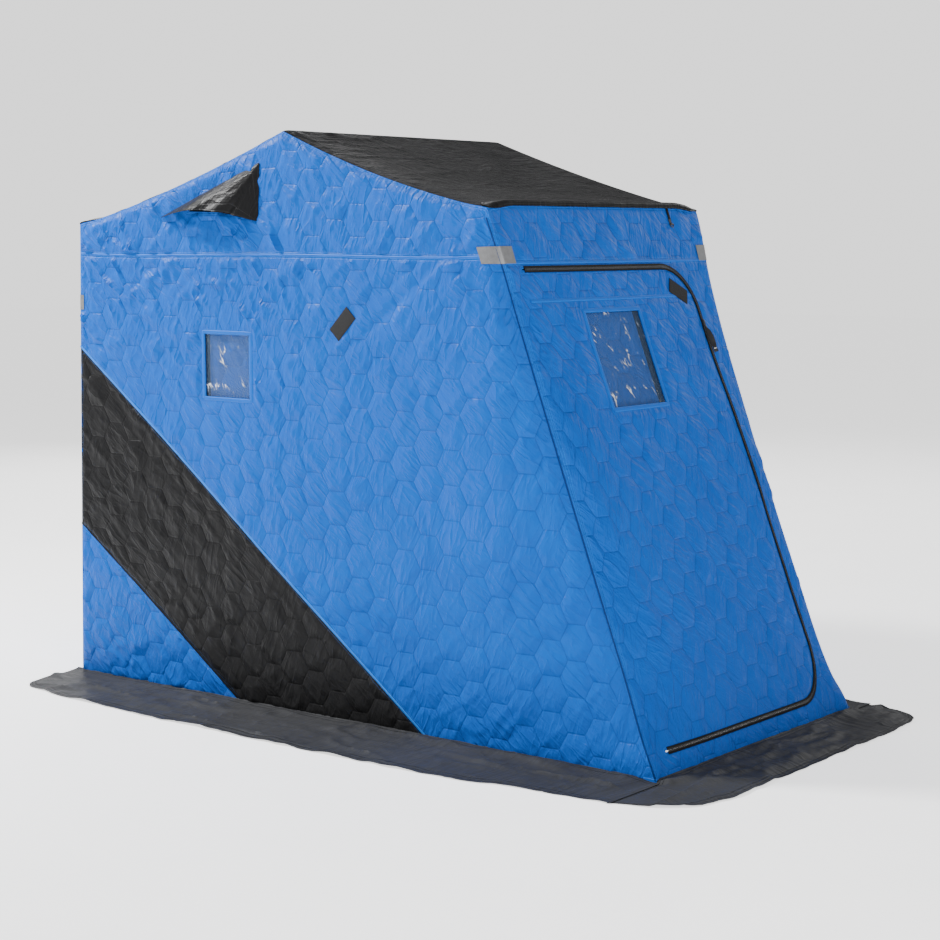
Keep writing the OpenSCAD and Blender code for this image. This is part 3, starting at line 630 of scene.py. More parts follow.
@dataclass(frozen=True)
class Shell:
    """Corners of the shelter in millimetres: X from the rear wall's foot, and Z.

    Attributes:
        start: X of the rear wall's foot in the frame.
        half_w: From the middle to the outer face of a side wall.
        rear_eave: Where the rear wall meets the roof.
        ridge: The roof's top.
        front_eave: Where the roof meets the door wall.
        foot: X of the door wall's foot.
        seam_z: Height of the seam round the shelter.
        leg_foot: X of the front legs' feet.
        bow: How far the near front corner is pulled in at most.
        far_bow: The same at the far front corner, which is pitched tighter.
        tuck: How far a side wall's edge rolls in under the roof.
        rise: How far an eave's middle stands over its straight line.
        wrap: How far the cloth rolls in beside a front corner's seam.
        wrap_w: Width of that roll.
    """

    start: float
    half_w: float
    rear_eave: Point
    ridge: Point
    front_eave: Point
    foot: float
    seam_z: float
    leg_foot: float = 1900.0
    bow: float = 41.0
    far_bow: float = 23.0
    tuck: float = 8.0
    rise: float = 13.0
    wrap: float = 13.0
    wrap_w: float = 52.0

    @classmethod
    def from_frame(cls) -> "Shell":
        """Reads the corners from the frame's boxes."""
        wall, rear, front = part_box("rear_wall"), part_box("rear_roof_slope"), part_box("front_roof_slope")
        start = wall[0].x / MM
        return cls(
            start=start,
            half_w=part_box("far_main_panel")[1].y / MM,
            rear_eave=(rear[0].x / MM - start, wall[1].z / MM),
            ridge=(front[0].x / MM - start, front[1].z / MM),
            front_eave=(front[1].x / MM - start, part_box("door_header")[1].z / MM),
            foot=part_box("door_sill")[1].x / MM - start,
            seam_z=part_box("near_gable_panel")[0].z / MM,
        )

    @property
    def lean(self) -> float:
        """Returns the door wall's lean from upright, in radians."""
        return math.atan2(self.foot - self.front_eave[0], self.front_eave[1])

    @property
    def slope_l(self) -> float:
        """Returns the door wall's length up its slope."""
        return math.hypot(self.foot - self.front_eave[0], self.front_eave[1])

    def roof_z(self, a: Array) -> Array:
        """Returns the unsagged roof line's height at each a."""
        corners = [self.rear_eave, self.ridge, self.front_eave]
        return np.interp(a, [p[0] for p in corners], [p[1] for p in corners])

    def rear_x(self, z: Array) -> Array:
        """Returns the rear wall's place at each height."""
        return self.rear_eave[0] * np.asarray(z) / self.rear_eave[1]

    def door_x(self, z: Array) -> Array:
        """Returns the door wall's place at each height."""
        return self.foot - np.asarray(z) * math.tan(self.lean)

    def leg_x(self, z: Array) -> Array:
        """Returns where the front leg presses on the side wall at each height."""
        top = self.front_eave[0] - 6
        return self.leg_foot + (top - self.leg_foot) * np.asarray(z) / self.front_eave[1]

    def corner_share(self, v: Array) -> Array:
        """Returns how much of the bow a front corner has at each place up the door wall's slope."""
        return smooth_curve(
            v, (0, 45, 130, 210, 415, 615, 823, 1052, 1256, 1423, 1536, 1640, 1700),
            (0, 0.1, 0.66, 0.8, 0.86, 0.96, 1.0, 0.95, 0.85, 0.6, 0.3, 0.07, 0),
        )

    def wrap_share(self, v: Array) -> Array:
        """Returns how much of the corner's roll there is at each place up the door wall's slope."""
        return ease((np.asarray(v) - 60) / 260) * ease((self.slope_l - 20 - np.asarray(v)) / 200)

    def pull(self, y: Array | float) -> Array:
        """Returns the corner's pull for each place across the shelter, between the two corners' own."""
        return self.bow + (self.far_bow - self.bow) * ease((np.asarray(y) / self.half_w + 1) / 2)

    def sag(self, a: Array, y: Array | float) -> Array:
        """Returns how far the roof sags at each a between the bows: most along its near edge."""
        a = np.asarray(a, float)
        rear = (a - self.rear_eave[0]) / (self.ridge[0] - self.rear_eave[0])
        front = (a - self.ridge[0]) / (self.front_eave[0] - self.ridge[0])
        rear, front = np.clip(rear, 0, 1), np.clip(front, 0, 1)
        most = 1 - 0.5 * ease((np.asarray(y) / self.half_w + 1) / 2)
        return (19 * 4 * rear * (1 - rear) + 24 * 4 * front * (1 - front)) * most

    def eave_rise(self, y: Array, away: Array, reach: float) -> Array:
        """Returns how far the cloth stands up over an eave's tube.

        Args:
            y: Place across the shelter.
            away: Distance from the eave.
            reach: Where the rise has faded out.
        """
        return self.rise * ease((self.half_w - np.abs(y)) / 130) * np.clip(1 - away / reach, 0, 1) ** 2

    def roll(self, a: Array) -> Array:
        """Returns the share of the tuck at the roof's edge, which fades out at the eaves."""
        a = np.asarray(a, float)
        return ease((a - self.rear_eave[0]) / 90) * ease((self.front_eave[0] - a) / 90)


@dataclass
class Surface(ABC):
    """A flat-cut piece of the shelter's skin, and where its points go in space.

    Attributes:
        shell: The shelter's corners.
        seed: Picks the surface's own random creases.
        puff: Height in millimetres of a quilted cell.
        creases: Straight creases: start, end, half width and depth in millimetres.
        pressed: Paths under a tape or patch, with the half width that is pressed flat.
        phase: Shift of the quilting's pattern.
    """

    shell: Shell
    seed: int = 1
    puff: float = 4.2
    creases: list[tuple[Point, Point, float, float]] = field(default_factory=list)
    pressed: list[tuple[Array, float]] = field(default_factory=list)
    phase: Point = (0.0, 0.0)

    @property
    def flip(self) -> bool:
        """Returns whether anticlockwise faces in flat coordinates point into the shelter."""
        return False

    @abstractmethod
    def point(self, a: Array, b: Array, lift: Array | float) -> Array:
        """Places flat points in space.

        Args:
            a: First flat coordinate.
            b: Second flat coordinate.
            lift: Height over the surface, outwards, in millimetres.

        Returns:
            One row of X, Y and Z in metres for each point.
        """

    def crease_share(self, a: Array, b: Array, angle: float) -> Array:
        """Returns how strong the random creases that run at an angle are at each point."""
        return np.full(a.shape, 0.5 if angle > 0 else 0.8)

    def flat_share(self, a: Array, b: Array) -> Array:
        """Returns 0 where a tape or patch presses the cloth flat, rising to 1 away from it."""
        share = np.ones(a.shape)
        for path, reach in self.pressed:
            share = np.minimum(share, ease((path_distance(a, b, path)[0] - reach) / 16))
        return share

    def relief(self, a: Array, b: Array, off: Array, quilt: "Quilt | None") -> tuple[Array, Array]:
        """Works out the cloth's own relief.

        Args:
            a: First flat coordinate.
            b: Second flat coordinate.
            off: Distance to the nearest sewn edge.
            quilt: The quilting, or None on plain cloth.

        Returns:
            Height over the surface, and distance to the nearest quilting line, both in millimetres.
        """
        height = 1.8 * wander(a, b, 260, self.seed) + 0.9 * wander(a, b, 90, self.seed + 1)
        stitch = np.full(a.shape, 99.0)
        if quilt:
            dome, stitch = quilt.cells(a - self.phase[0], b - self.phase[1], self.seed)
            height = height + dome * self.puff
            for size, angle, stretch, depth in ((58, -46, 3.4, 2.6), (44, -66, 2.6, 1.8), (62, 48, 3.0, 2.0)):
                lines = ridges(a, b, size, angle, stretch, self.seed + size)
                height += depth * lines * self.crease_share(a, b, angle)
        else:
            height += 2.2 * ridges(a, b, 60, 90, 4.0, self.seed + 2)
        for start, end, width, depth in self.creases:
            p, q = np.array(start), np.array(end)
            d, t = segment_distance(a, b, p, q)
            fade = np.sin(np.pi * np.clip(t / np.linalg.norm(q - p), 0.02, 0.98)) ** 0.6
            height -= depth * np.exp(-((d / width) ** 2)) * fade
        return height * self.flat_share(a, b) * ease(off / 15), stitch


class Side(Enum):
    """A side of the shelter, as the sign of its Y."""

    NEAR = -1
    FAR = 1


@dataclass
class SideWall(Surface):
    """A side wall. Its flat coordinates are X from the rear wall's foot, and Z.

    Attributes:
        side: Which side it is.
    """

    side: Side = Side.NEAR

    def crease_share(self, a: Array, b: Array, angle: float) -> Array:
        """Returns the creases' strength: falling forwards at the rear, and towards the door at the front."""
        front = ease((a - 850) / 600)
        high = 0.45 + 0.9 * np.exp(-np.abs(b - self.shell.seam_z) / 260)
        low = 0.4 * np.exp(-b / 160)
        return 2.9 * (front if angle > 0 else 1.15 - front) * (high + low)

    @property
    def flip(self) -> bool:
        """Returns whether the faces have to be turned to point outwards."""
        return self.side is Side.FAR

    def point(self, a: Array, b: Array, lift: Array | float) -> Array:
        """Places flat points in space, as the base class says."""
        sh = self.shell
        a, b = np.asarray(a, float), np.asarray(b, float)
        share = sh.corner_share(b / math.cos(sh.lean))
        leg, edge = sh.leg_x(b), sh.door_x(b)

        ramp = np.clip(over_zero(a - leg, 18.0) / over_zero(edge - leg, 18.0), 0, 1.2)
        below = np.maximum(sh.roof_z(a) - b, 0)
        roll = sh.roll(a) * np.clip(1 - below / 42, 0, 1) ** 2
        rear_bay = np.clip(a / sh.ridge[0], 0, 1)
        front_bay = np.clip((a - sh.ridge[0]) / np.maximum(leg - sh.ridge[0], 1), 0, 1)
        up = np.clip(b / sh.front_eave[1], 0, 1)
        slack = 7 * np.sin(np.pi * up) * (np.sin(np.pi * rear_bay) ** 2 + np.sin(np.pi * front_bay) ** 2)
        last = np.clip(1 - (edge - a) / sh.wrap_w, 0, 1.1) ** 2
        bow = sh.pull(self.side.value * sh.half_w) * share
        inward = bow * ramp + sh.tuck * roll + slack + sh.wrap * sh.wrap_share(b / math.cos(sh.lean)) * last
        x = sh.start + a - bow * np.clip(ramp, 0, 1.2) ** 2
        z = b - sh.sag(a, self.side.value * sh.half_w) * np.clip(1 - below / 420, 0, 1) ** 2 - 4 * roll
        y = self.side.value * (sh.half_w - inward + lift)
        return np.stack([x, y, z], axis=1) * MM


@dataclass
class DoorWall(Surface):
    """The sloping door wall. Its flat coordinates are Y, and the distance up its slope."""

    def point(self, a: Array, b: Array, lift: Array | float) -> Array:
        """Places flat points in space, as the base class says."""
        sh = self.shell
        a, b = np.asarray(a, float), np.asarray(b, float)
        share = sh.corner_share(b)
        off_middle = np.abs(a) / sh.half_w
        # Low down, a crisp fold divides the proud middle from the drawn-in corner. Higher up, it curves.
        knee = smooth_curve(
            b, (0, 220, 374, 517, 660, 880, 1050, 1300, 1700),
            (0.5, 0.55, 0.58, 0.69, 0.74, 0.85, 0.84, 0.6, 0.5),
        )
        soft = smooth_curve(b, (0, 700, 1000, 1300), (0.02, 0.025, 0.08, 0.35))
        middle = smooth_curve(b, (0, 600, 1000, 1256, 1700), (0.02, 0.04, 0.08, 0.12, 0.2))
        across = middle + (1 - middle) * over_zero(off_middle - knee, soft) / over_zero(1 - knee, soft)
        last = np.clip(1 - (sh.half_w - np.abs(a)) / 95, 0, 1.05) ** 1.5
        bow = sh.pull(a) * share
        x = sh.start + sh.foot - b * math.sin(sh.lean) - bow * across
        y = a - np.sign(a) * (bow * ease((off_middle - 0.45) / 1.1) * 2 + sh.wrap * sh.wrap_share(b) * last)
        rise = sh.eave_rise(a, sh.slope_l - b, 110)
        x -= rise * math.tan(sh.lean)
        z = b * math.cos(sh.lean) + rise
        out = np.array([math.cos(sh.lean), 0, math.sin(sh.lean)])
        return (np.stack([x, y, z], axis=1) + np.asarray(lift)[..., None] * out) * MM


@dataclass
class RearWall(Surface):
    """The rear wall. Its flat coordinates are Y, and the distance up it."""

    @property
    def flip(self) -> bool:
        """Returns whether the faces have to be turned to point outwards."""
        return True

    def point(self, a: Array, b: Array, lift: Array | float) -> Array:
        """Places flat points in space, as the base class says."""
        sh = self.shell
        a, b = np.asarray(a, float), np.asarray(b, float)
        lean = math.atan2(*sh.rear_eave)
        length = math.hypot(*sh.rear_eave)
        slack = 12 * np.cos(np.pi / 2 * np.clip(np.abs(a) / sh.half_w, 0, 1)) * np.sin(
            np.pi * np.clip(b / length, 0, 1))
        out = np.array([-math.cos(lean), 0, math.sin(lean)])
        z = b * math.cos(lean) + sh.eave_rise(a, length - b, 110)
        flat = np.stack([sh.start + b * math.sin(lean), a, z], axis=1)
        return (flat + (np.asarray(lift) - slack)[..., None] * out) * MM


@dataclass
class RoofSlope(Surface):
    """A roof slope. Its flat coordinates are the distance up or down it towards +X, and Y.

    Attributes:
        begin: Its corner nearer the rear.
        end: Its corner nearer the door.
    """

    begin: Point = (0.0, 0.0)
    end: Point = (1.0, 0.0)

    @property
    def length(self) -> float:
        """Returns the slope's length."""
        return math.hypot(self.end[0] - self.begin[0], self.end[1] - self.begin[1])

    def point(self, a: Array, b: Array, lift: Array | float) -> Array:
        """Places flat points in space, as the base class says."""
        sh = self.shell
        a, b = np.asarray(a, float), np.asarray(b, float)
        way = unit(np.array(self.end) - np.array(self.begin))
        x = self.begin[0] + a * way[0]
        across = np.clip(np.abs(b) / sh.half_w, 0, 1)
        edge = sh.roll(x) * np.clip(1 - (sh.half_w - np.abs(b)) / 42, 0, 1) ** 2
        drop = sh.sag(x, b) * (1 + 0.3 * (1 - across**2)) + 4 * edge
        y = b - np.sign(b) * sh.tuck * edge
        low = a if self.begin[1] < self.end[1] else self.length - a
        z = self.begin[1] + a * way[1] - drop + sh.eave_rise(b, low, 190)
        out = np.array([-way[1], 0, way[0]])
        return (np.stack([sh.start + x, y, z], axis=1) + np.asarray(lift)[..., None] * out) * MM


# ---- Quilted and plain sheets ----


@dataclass(frozen=True)
class Quilt:
    """Quilting in near-regular hexagons with level tops.

    Attributes:
        side: Length of a hexagon's side in millimetres.
        steps: Rows of triangles from a cell's edge to its middle.
    """

    side: float = 60.5
    steps: int = 6

    @property
    def apothem(self) -> float:
        """Returns the distance from a cell's middle to its edges."""
        return self.side * math.sqrt(3) / 2

    def cells(self, a: Array, b: Array, seed: int) -> tuple[Array, Array]:
        """Works out the quilting at flat points.

        Args:
            a: First flat coordinate.
            b: Second flat coordinate.
            seed: Picks how the cells differ.

        Returns:
            The cells' height, from 0 on the sewn lines to about 1, and the distance to those lines.
        """
        pitch_a, pitch_b = 3 * self.side, 2 * self.apothem
        best = np.full(a.shape, 1e9)
        middle = [np.zeros(a.shape), np.zeros(a.shape)]
        place = [np.zeros(a.shape), np.zeros(a.shape)]
        for odd in (0, 1):
            i = np.round((a - odd * pitch_a / 2) / pitch_a)
            j = np.round((b - odd * pitch_b / 2) / pitch_b)
            ca, cb = i * pitch_a + odd * pitch_a / 2, j * pitch_b + odd * pitch_b / 2
            d = np.hypot(a - ca, b - cb)
            nearer = d < best
            best = np.where(nearer, d, best)
            for store, value in ((middle, (ca, cb)), (place, (2 * i + odd, 2 * j + odd))):
                store[0] = np.where(nearer, value[0], store[0])
                store[1] = np.where(nearer, value[1], store[1])
        p, q = a - middle[0], b - middle[1]
        reach = np.abs(q)
        for s in (1, -1):
            reach = np.maximum(reach, np.abs(p * math.sqrt(3) / 2 + s * q / 2))
        inset = np.clip(1 - reach / self.apothem, 0, 1)
        dome = 1 - (1 - inset) ** 2.8
        full = 0.65 + 0.6 * scatter(place[0], place[1], seed)
        tilt_a = scatter(place[0], place[1], seed + 11) - 0.5
        tilt_b = scatter(place[0], place[1], seed + 23) - 0.5
        tilt = (p * tilt_a + q * tilt_b) / self.apothem
        return dome * (full + 1.1 * tilt), inset * self.apothem


@dataclass
class Sheet:
    """One cut sheet of cloth on a surface.

    Attributes:
        name: The piece's name.
        surface: What it lies on.
        outline: Its convex outline in flat coordinates, anticlockwise.
        finish: Its outer finish.
        holes: Convex cuts out of it.
        quilt: Its quilting, or None on plain cloth.
        thickness: Of the cloth in millimetres.
        lining: Finish of its inner face, or None for the same one.
        sink: How far in from the surface its outer face lies.
        spacing: Distance between points on plain cloth.
        sewn: Paths that count as its sewn edges, or None for its outline and its holes.
    """

    name: str
    surface: Surface
    outline: Array
    finish: Finish
    holes: list[Array] = field(default_factory=list)
    quilt: Quilt | None = None
    thickness: float = 4.0
    lining: Finish | None = None
    sink: float = 0.0
    spacing: float = 10.0
    sewn: list[Array] | None = None

    def build(self) -> bpy.types.Object:
        """Cuts, shapes, thickens and dresses the sheet."""
        mesh = self._cut(*self._lattice())
        n = len(mesh.vertices)
        flat = np.zeros(n * 3, np.float32)
        mesh.vertices.foreach_get("co", flat)
        a, b = flat.reshape(-1, 3)[:, 0].astype(float), flat.reshape(-1, 3)[:, 1].astype(float)
        off, along = self._edge_distance(a, b)
        height, stitch = self.surface.relief(a, b, off, self.quilt)
        gathers = np.exp(-off / 50) * ease(off / 10) * (
            2.6 * wander(along, off * 0.25, 26, self.surface.seed + 5)
            + 2.0 * wander(along + off * 0.5, off * 0.2, 47, self.surface.seed + 6)
        )
        gathers = gathers * self.surface.flat_share(a, b)
        place = self.surface.point(a, b, height + gathers - self.sink)
        mesh.vertices.foreach_set("co", place.astype(np.float32).ravel())
        write_cloth_data(mesh, a, b, stitch, off, along)
        if self.surface.flip:
            mesh.flip_normals()
        piece = bpy.data.objects.new(self.name, mesh)
        bpy.context.scene.collection.objects.link(piece)
        return thicken(piece, self.thickness, self.finish, self.lining)

    def size(self) -> tuple[float, float]:
        """Returns the cut's width and length in metres."""
        span = (self.outline.max(0) - self.outline.min(0)) * MM
        return float(span[0]), float(span[1])

    def _lattice(self) -> tuple[Array, Array]:
        """Returns points of a triangle lattice over the outline, and its triangles.

        On quilted cloth the lattice's lines run along the quilting, so that every sewn line is an edge.
        """
        step = self.quilt.side / self.quilt.steps if self.quilt else self.spacing
        rise = step * math.sqrt(3) / 2
        shift = np.array(self.surface.phase) + (np.array([self.quilt.side, 0.0]) if self.quilt else 0.0)
        low = np.floor((self.outline.min(0) - shift) / (step, rise)).astype(int) - 1
        high = np.ceil((self.outline.max(0) - shift) / (step, rise)).astype(int) + 2
        j, i = np.meshgrid(np.arange(low[1], high[1]), np.arange(low[0], high[0]), indexing="ij")
        # The quilting's level lines fall on the rows whose number is a multiple of its steps.
        points = np.stack([(i + 0.5 * (j % 2)) * step + shift[0], j * rise + shift[1]], axis=-1)
        rows, cols = j.shape
        k = np.arange(rows * cols).reshape(rows, cols)
        p, q, r, s = k[:-1, :-1], k[:-1, 1:], k[1:, :-1], k[1:, 1:]
        even = (j[:-1, :-1] % 2 == 0)
        first = np.where(even[..., None], np.stack([p, q, r], -1), np.stack([p, q, s], -1))
        second = np.where(even[..., None], np.stack([q, s, r], -1), np.stack([p, s, r], -1))
        faces = np.concatenate([first.reshape(-1, 3), second.reshape(-1, 3)])
        return points.reshape(-1, 2), faces

    def _cut(self, points: Array, faces: Array) -> bpy.types.Mesh:
        """Cuts a lattice to the outline and its holes, and returns it as a flat mesh.

        Only the faces beside an edge are cut. The others join them afterwards.
        """
        middle = points[faces].mean(axis=1)
        loops = [closed(p) for p in (self.outline, *self.holes)]
        beside = np.zeros(len(faces), bool)
        rim_w = 16.0
        for loop in loops:
            beside |= path_distance(middle[:, 0], middle[:, 1], loop)[0] < rim_w
        whole = faces[~beside & self._is_cloth(middle)]
        bm = bmesh.new()
        used, rim = np.unique(faces[beside], return_inverse=True)
        verts = [bm.verts.new((x, y, 0)) for x, y in points[used]]
        for a, b, c in rim.reshape(-1, 3):
            bm.faces.new((verts[a], verts[b], verts[c]))
        for loop in loops:
            for p, q in zip(loop[:-1], loop[1:]):
                cut_along(bm, p, q)
        centres = np.array([f.calc_center_median()[:2] for f in bm.faces])
        doomed = [f for f, stays in zip(bm.faces, self._is_cloth(centres)) if not stays]
        bmesh.ops.delete(bm, geom=doomed, context="FACES")
        bmesh.ops.triangulate(bm, faces=[f for f in bm.faces if len(f.verts) > 3])
        base = len(bm.verts)
        used, whole = np.unique(whole, return_inverse=True)
        bm.verts.index_update()
        rim_points = np.array([v.co[:] for v in bm.verts])
        rim_faces = [[v.index for v in f.verts] for f in bm.faces]
        bm.free()
        flat = np.vstack([rim_points, np.column_stack([points[used], np.zeros(len(used))])])
        mesh = bpy.data.meshes.new(self.name)
        mesh.from_pydata(flat.tolist(), [], rim_faces + (whole.reshape(-1, 3) + base).tolist())
        bm = bmesh.new()
        bm.from_mesh(mesh)
        bmesh.ops.remove_doubles(bm, verts=bm.verts, dist=0.25)
        thin = [f for f in bm.faces if f.calc_area() < 0.02]
        bmesh.ops.dissolve_degenerate(bm, dist=0.05, edges=list({e for f in thin for e in f.edges}))
        bm.to_mesh(mesh)
        bm.free()
        return mesh

    def _is_cloth(self, at: Array) -> Array:
        """Returns which flat points lie inside the outline and outside its holes."""
        stays = inside_convex(at[:, 0], at[:, 1], self.outline)
        for hole in self.holes:
            stays &= ~inside_convex(at[:, 0], at[:, 1], hole)
        return stays

    def _edge_distance(self, a: Array, b: Array) -> tuple[Array, Array]:
        """Returns each point's distance to the nearest sewn edge, and its place along it."""
        loops = self.sewn or [closed(p) for p in (self.outline, *self.holes)]
        best, along = np.full(a.shape, 1e9), np.zeros(a.shape)
        for loop in loops:
            d, t = path_distance(a, b, loop)
            nearer = d < best
            best, along = np.where(nearer, d, best), np.where(nearer, t, along)
        return best, along


def cut_along(bm: bmesh.types.BMesh, p: Array, q: Array) -> None:
    """Cuts the faces that a segment's line crosses.

    Args:
        bm: A flat mesh in millimetres.
        p: The segment's start.
        q: The segment's end.
    """
    ahead = unit(q - p)
    normal = (-ahead[1], ahead[0])
    length, reach = float(np.linalg.norm(q - p)), 26.0
    crossed = []
    for f in bm.faces:
        sides = [(v.co.x - p[0]) * normal[0] + (v.co.y - p[1]) * normal[1] for v in f.verts]
        if min(sides) < 0 < max(sides):
            t = (f.verts[0].co.x - p[0]) * ahead[0] + (f.verts[0].co.y - p[1]) * ahead[1]
            if -reach < t < length + reach:
                crossed.append(f)
    if not crossed:
        return
    geom = list({v for f in crossed for v in f.verts}) + list({e for f in crossed for e in f.edges}) + crossed
    bmesh.ops.bisect_plane(
        bm, geom=geom, dist=0.3, plane_co=(p[0], p[1], 0), plane_no=(*normal, 0), use_snap_center=True
    )


def write_cloth_data(
    mesh: bpy.types.Mesh, a: Array, b: Array, stitch: Array, off: Array, along: Array
) -> None:
    """Stores what the cloth finishes read.

    Args:
        mesh: The sheet's mesh.
        a: First flat coordinate of each point in millimetres.
        b: Second flat coordinate.
        stitch: Distance to the nearest quilting line.
        off: Distance to the nearest sewn edge.
        along: Place along that edge.
    """
    for name, values in (("stitch", stitch), ("seam_off", off), ("seam_along", along)):
        mesh.attributes.new(name, "FLOAT", "POINT").data.foreach_set("value", values.astype(np.float32))
    corner = np.zeros(len(mesh.loops), np.int32)
    mesh.loops.foreach_get("vertex_index", corner)
    layer = mesh.uv_layers.new(name="flat")
    layer.data.foreach_set("uv", (np.stack([a, b], 1)[corner] * MM).astype(np.float32).ravel())


def activate(piece: bpy.types.Object) -> None:
    """Makes one object the only selected and active one."""
    bpy.ops.object.select_all(action="DESELECT")
    piece.select_set(True)
    bpy.context.view_layer.objects.active = piece


def thicken(
    piece: bpy.types.Object, thickness: float, finish: Finish, lining: Finish | None = None
) -> bpy.types.Object:
    """Gives a sheet its thickness inwards, its finishes and smooth shading.

    Args:
        piece: An open sheet whose faces point outwards.
        thickness: In millimetres.
        finish: The outer finish.
        lining: The inner face's finish, or None for the same one.

    Returns:
        The same piece.
    """
    piece.data.materials.append(finish.material())
    solidify = piece.modifiers.new("thickness", "SOLIDIFY")
    solidify.thickness = thickness * MM
    solidify.offset = -1
    if lining:
        piece.data.materials.append(lining.material())
        solidify.material_offset = 1
    activate(piece)
    bpy.ops.object.modifier_apply(modifier=solidify.name)
    for v in piece.data.vertices:
        v.co.z = max(v.co.z, 0.0)
    bpy.ops.object.shade_smooth_by_angle(angle=math.radians(50))
    return piece


@dataclass
class Grid:
    """A rectangular net of points whose place a formula gives, made into a sheet.

    Attributes:
        name: The piece's name.
        place: Gives X, Y and Z in metres for arrays of the two parameters.
        u: Values of the first parameter, in millimetres.
        v: Values of the second parameter, in millimetres.
        finish: Its finish.
        thickness: In millimetres.
        flip: Whether its faces are turned over.
        sewn: Whether all four edges count as sewn, and not only those along the first parameter.
        lining: Finish of its inner face, or None for the same one.
    """

    name: str
    place: Callable[[Array, Array], Array]
    u: Array
    v: Array
    finish: Finish
    thickness: float = 1.2
    flip: bool = False
    sewn: bool = False
    lining: Finish | None = None

    def build(self) -> bpy.types.Object:
        """Makes the net from a grid primitive, moves its points and gives it its thickness."""
        nu, nv = len(self.u) - 1, len(self.v) - 1
        bpy.ops.object.select_all(action="DESELECT")
        bpy.ops.mesh.primitive_grid_add(x_subdivisions=nu, y_subdivisions=nv, size=1, location=(0, 0, 0))
        piece = bpy.context.active_object
        piece.name = piece.data.name = self.name
        mesh = piece.data
        while mesh.uv_layers:
            mesh.uv_layers.remove(mesh.uv_layers[0])
        u, v = (w.ravel() for w in np.meshgrid(self.u, self.v))
        mesh.vertices.foreach_set("co", self.place(u, v).astype(np.float32).ravel())
        off = np.minimum(v - self.v[0], self.v[-1] - v)
        along = u
        if self.sewn:
            side = np.minimum(u - self.u[0], self.u[-1] - u)
            off, along = np.minimum(off, side), np.where(side < off, v, u)
        write_cloth_data(mesh, u, v, np.full(u.shape, 99.0), off, along)
        if self.flip:
            mesh.flip_normals()
        return thicken(piece, self.thickness, self.finish, self.lining)


def tape(
    name: str, surface: Surface, path: Array, half_w: float, finish: Finish, lift: float = 1.4,
    thickness: float = 1.2, shift: float = 0.0, step: float = 12.0,
) -> bpy.types.Object:
    """Lays a flat tape along a path on a surface.

    Args:
        name: The piece's name.
        surface: What it is sewn to.
        path: Its middle line in flat coordinates.
        half_w: Half its width in millimetres.
        finish: Its finish.
        lift: Height of its face over the surface.
        thickness: In millimetres.
        shift: How far it lies to the left of the path.
        step: Distance between its points along the path.

    Returns:
        The tape.
    """
    line = resample(np.asarray(path, float), step)
    ahead = np.gradient(line, axis=0)
    normal = np.stack([-ahead[:, 1], ahead[:, 0]], 1) / np.linalg.norm(ahead, axis=1)[:, None]
    run = run_along(line)

    def place(u: Array, v: Array) -> Array:
        """Places the tape's points.

        Args:
            u: Distance along the tape.
            v: Distance across it from its middle.

        Returns:
            One row of X, Y and Z in metres for each point.
        """
        k = np.searchsorted(run, u - 1e-6).clip(0, len(line) - 1)
        at = line[k] + normal[k] * (v + shift)[:, None]
        crown = 0.35 * (1 - (v / half_w) ** 2)
        edge = ease((half_w - np.abs(v)) / 1.2) * 0.6
        return surface.point(at[:, 0], at[:, 1], lift - 0.6 + edge + crown)

    across = np.array([-1, -0.86, -0.5, 0, 0.5, 0.86, 1]) * half_w
    return Grid(name, place, run, across, finish, thickness, flip=surface.flip).build()


# ---- Pieces and bodies ----


class Body(Enum):
    """A moving body of the frame."""

    SHELTER = "shelter"
    DOOR = "door"
    RING = "hanging_ring"


@dataclass
class Crew:
    """Puts finished pieces on their bodies and keeps count of them.

    Attributes:
        hinge_y: Y of the door's sewn hinge, in metres. Not used.
        bend: How far from the hinge the door's cloth would keep bending, in metres. Not used.
        made: How many pieces are done.
    """

    hinge_y: float
    bend: float = 0.11
    made: int = 0

    def add(
        self, piece: bpy.types.Object, body: Body, slot: str, nodes: Sequence[str] = (), bends: bool = False
    ) -> bpy.types.Object:
        """Finishes one piece.

        Args:
            piece: The piece, in place.
            body: The body that it moves with.
            slot: The record's material slot. Not used.
            nodes: CAD nodes that it stands for.
            bends: Whether it is cloth at the door's hinge: its transform is baked and it is put on no body.

        Returns:
            The same piece.
        """
        if bends:
            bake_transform(piece)
        else:
            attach(piece, body.value)
        if nodes:
            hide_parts(*nodes)
        self.made += 1
        LOG.info("%s on %s: %d faces", piece.name, body.value, len(piece.data.polygons))
        return piece

    def add_sheet(
        self, sheet: Sheet, body: Body, slot: str, nodes: Sequence[str], held: str, rests_on: Sequence[str],
        trims: Sequence[bpy.types.Object] = (), bends: bool = False,
    ) -> bpy.types.Object:
        """Args:
            sheet: The sheet.
            body: The body that it moves with.
            slot: The record's material slot, passed on to add, which does not use it.
            nodes: CAD nodes that it stands for.
            rests_on: What holds it. Not used.
            trims: Finished pieces sewn to it. Not used.
            bends: Whether it is cloth at the door's hinge, passed on to add.

        Returns:
            The finished sheet.
        """
        piece = self.add(sheet.build(), body, slot, nodes, bends)
        width, length = sheet.size()
        return piece


@dataclass
class Part(ABC):
    """A sub-assembly of the shelter.

    Attributes:
        shell: The shelter's corners.
        crew: Finishes the pieces.
    """

    shell: Shell
    crew: Crew

    @abstractmethod
    def build(self) -> None:
        """Builds the sub-assembly's pieces."""

    def sew(self, trim: bpy.types.Object, body: Body = Body.SHELTER, bends: bool = False) -> bpy.types.Object:
        """Finishes a tape that stands for no node, and returns it."""
        return self.crew.add(trim, body, "webbing", bends=bends)


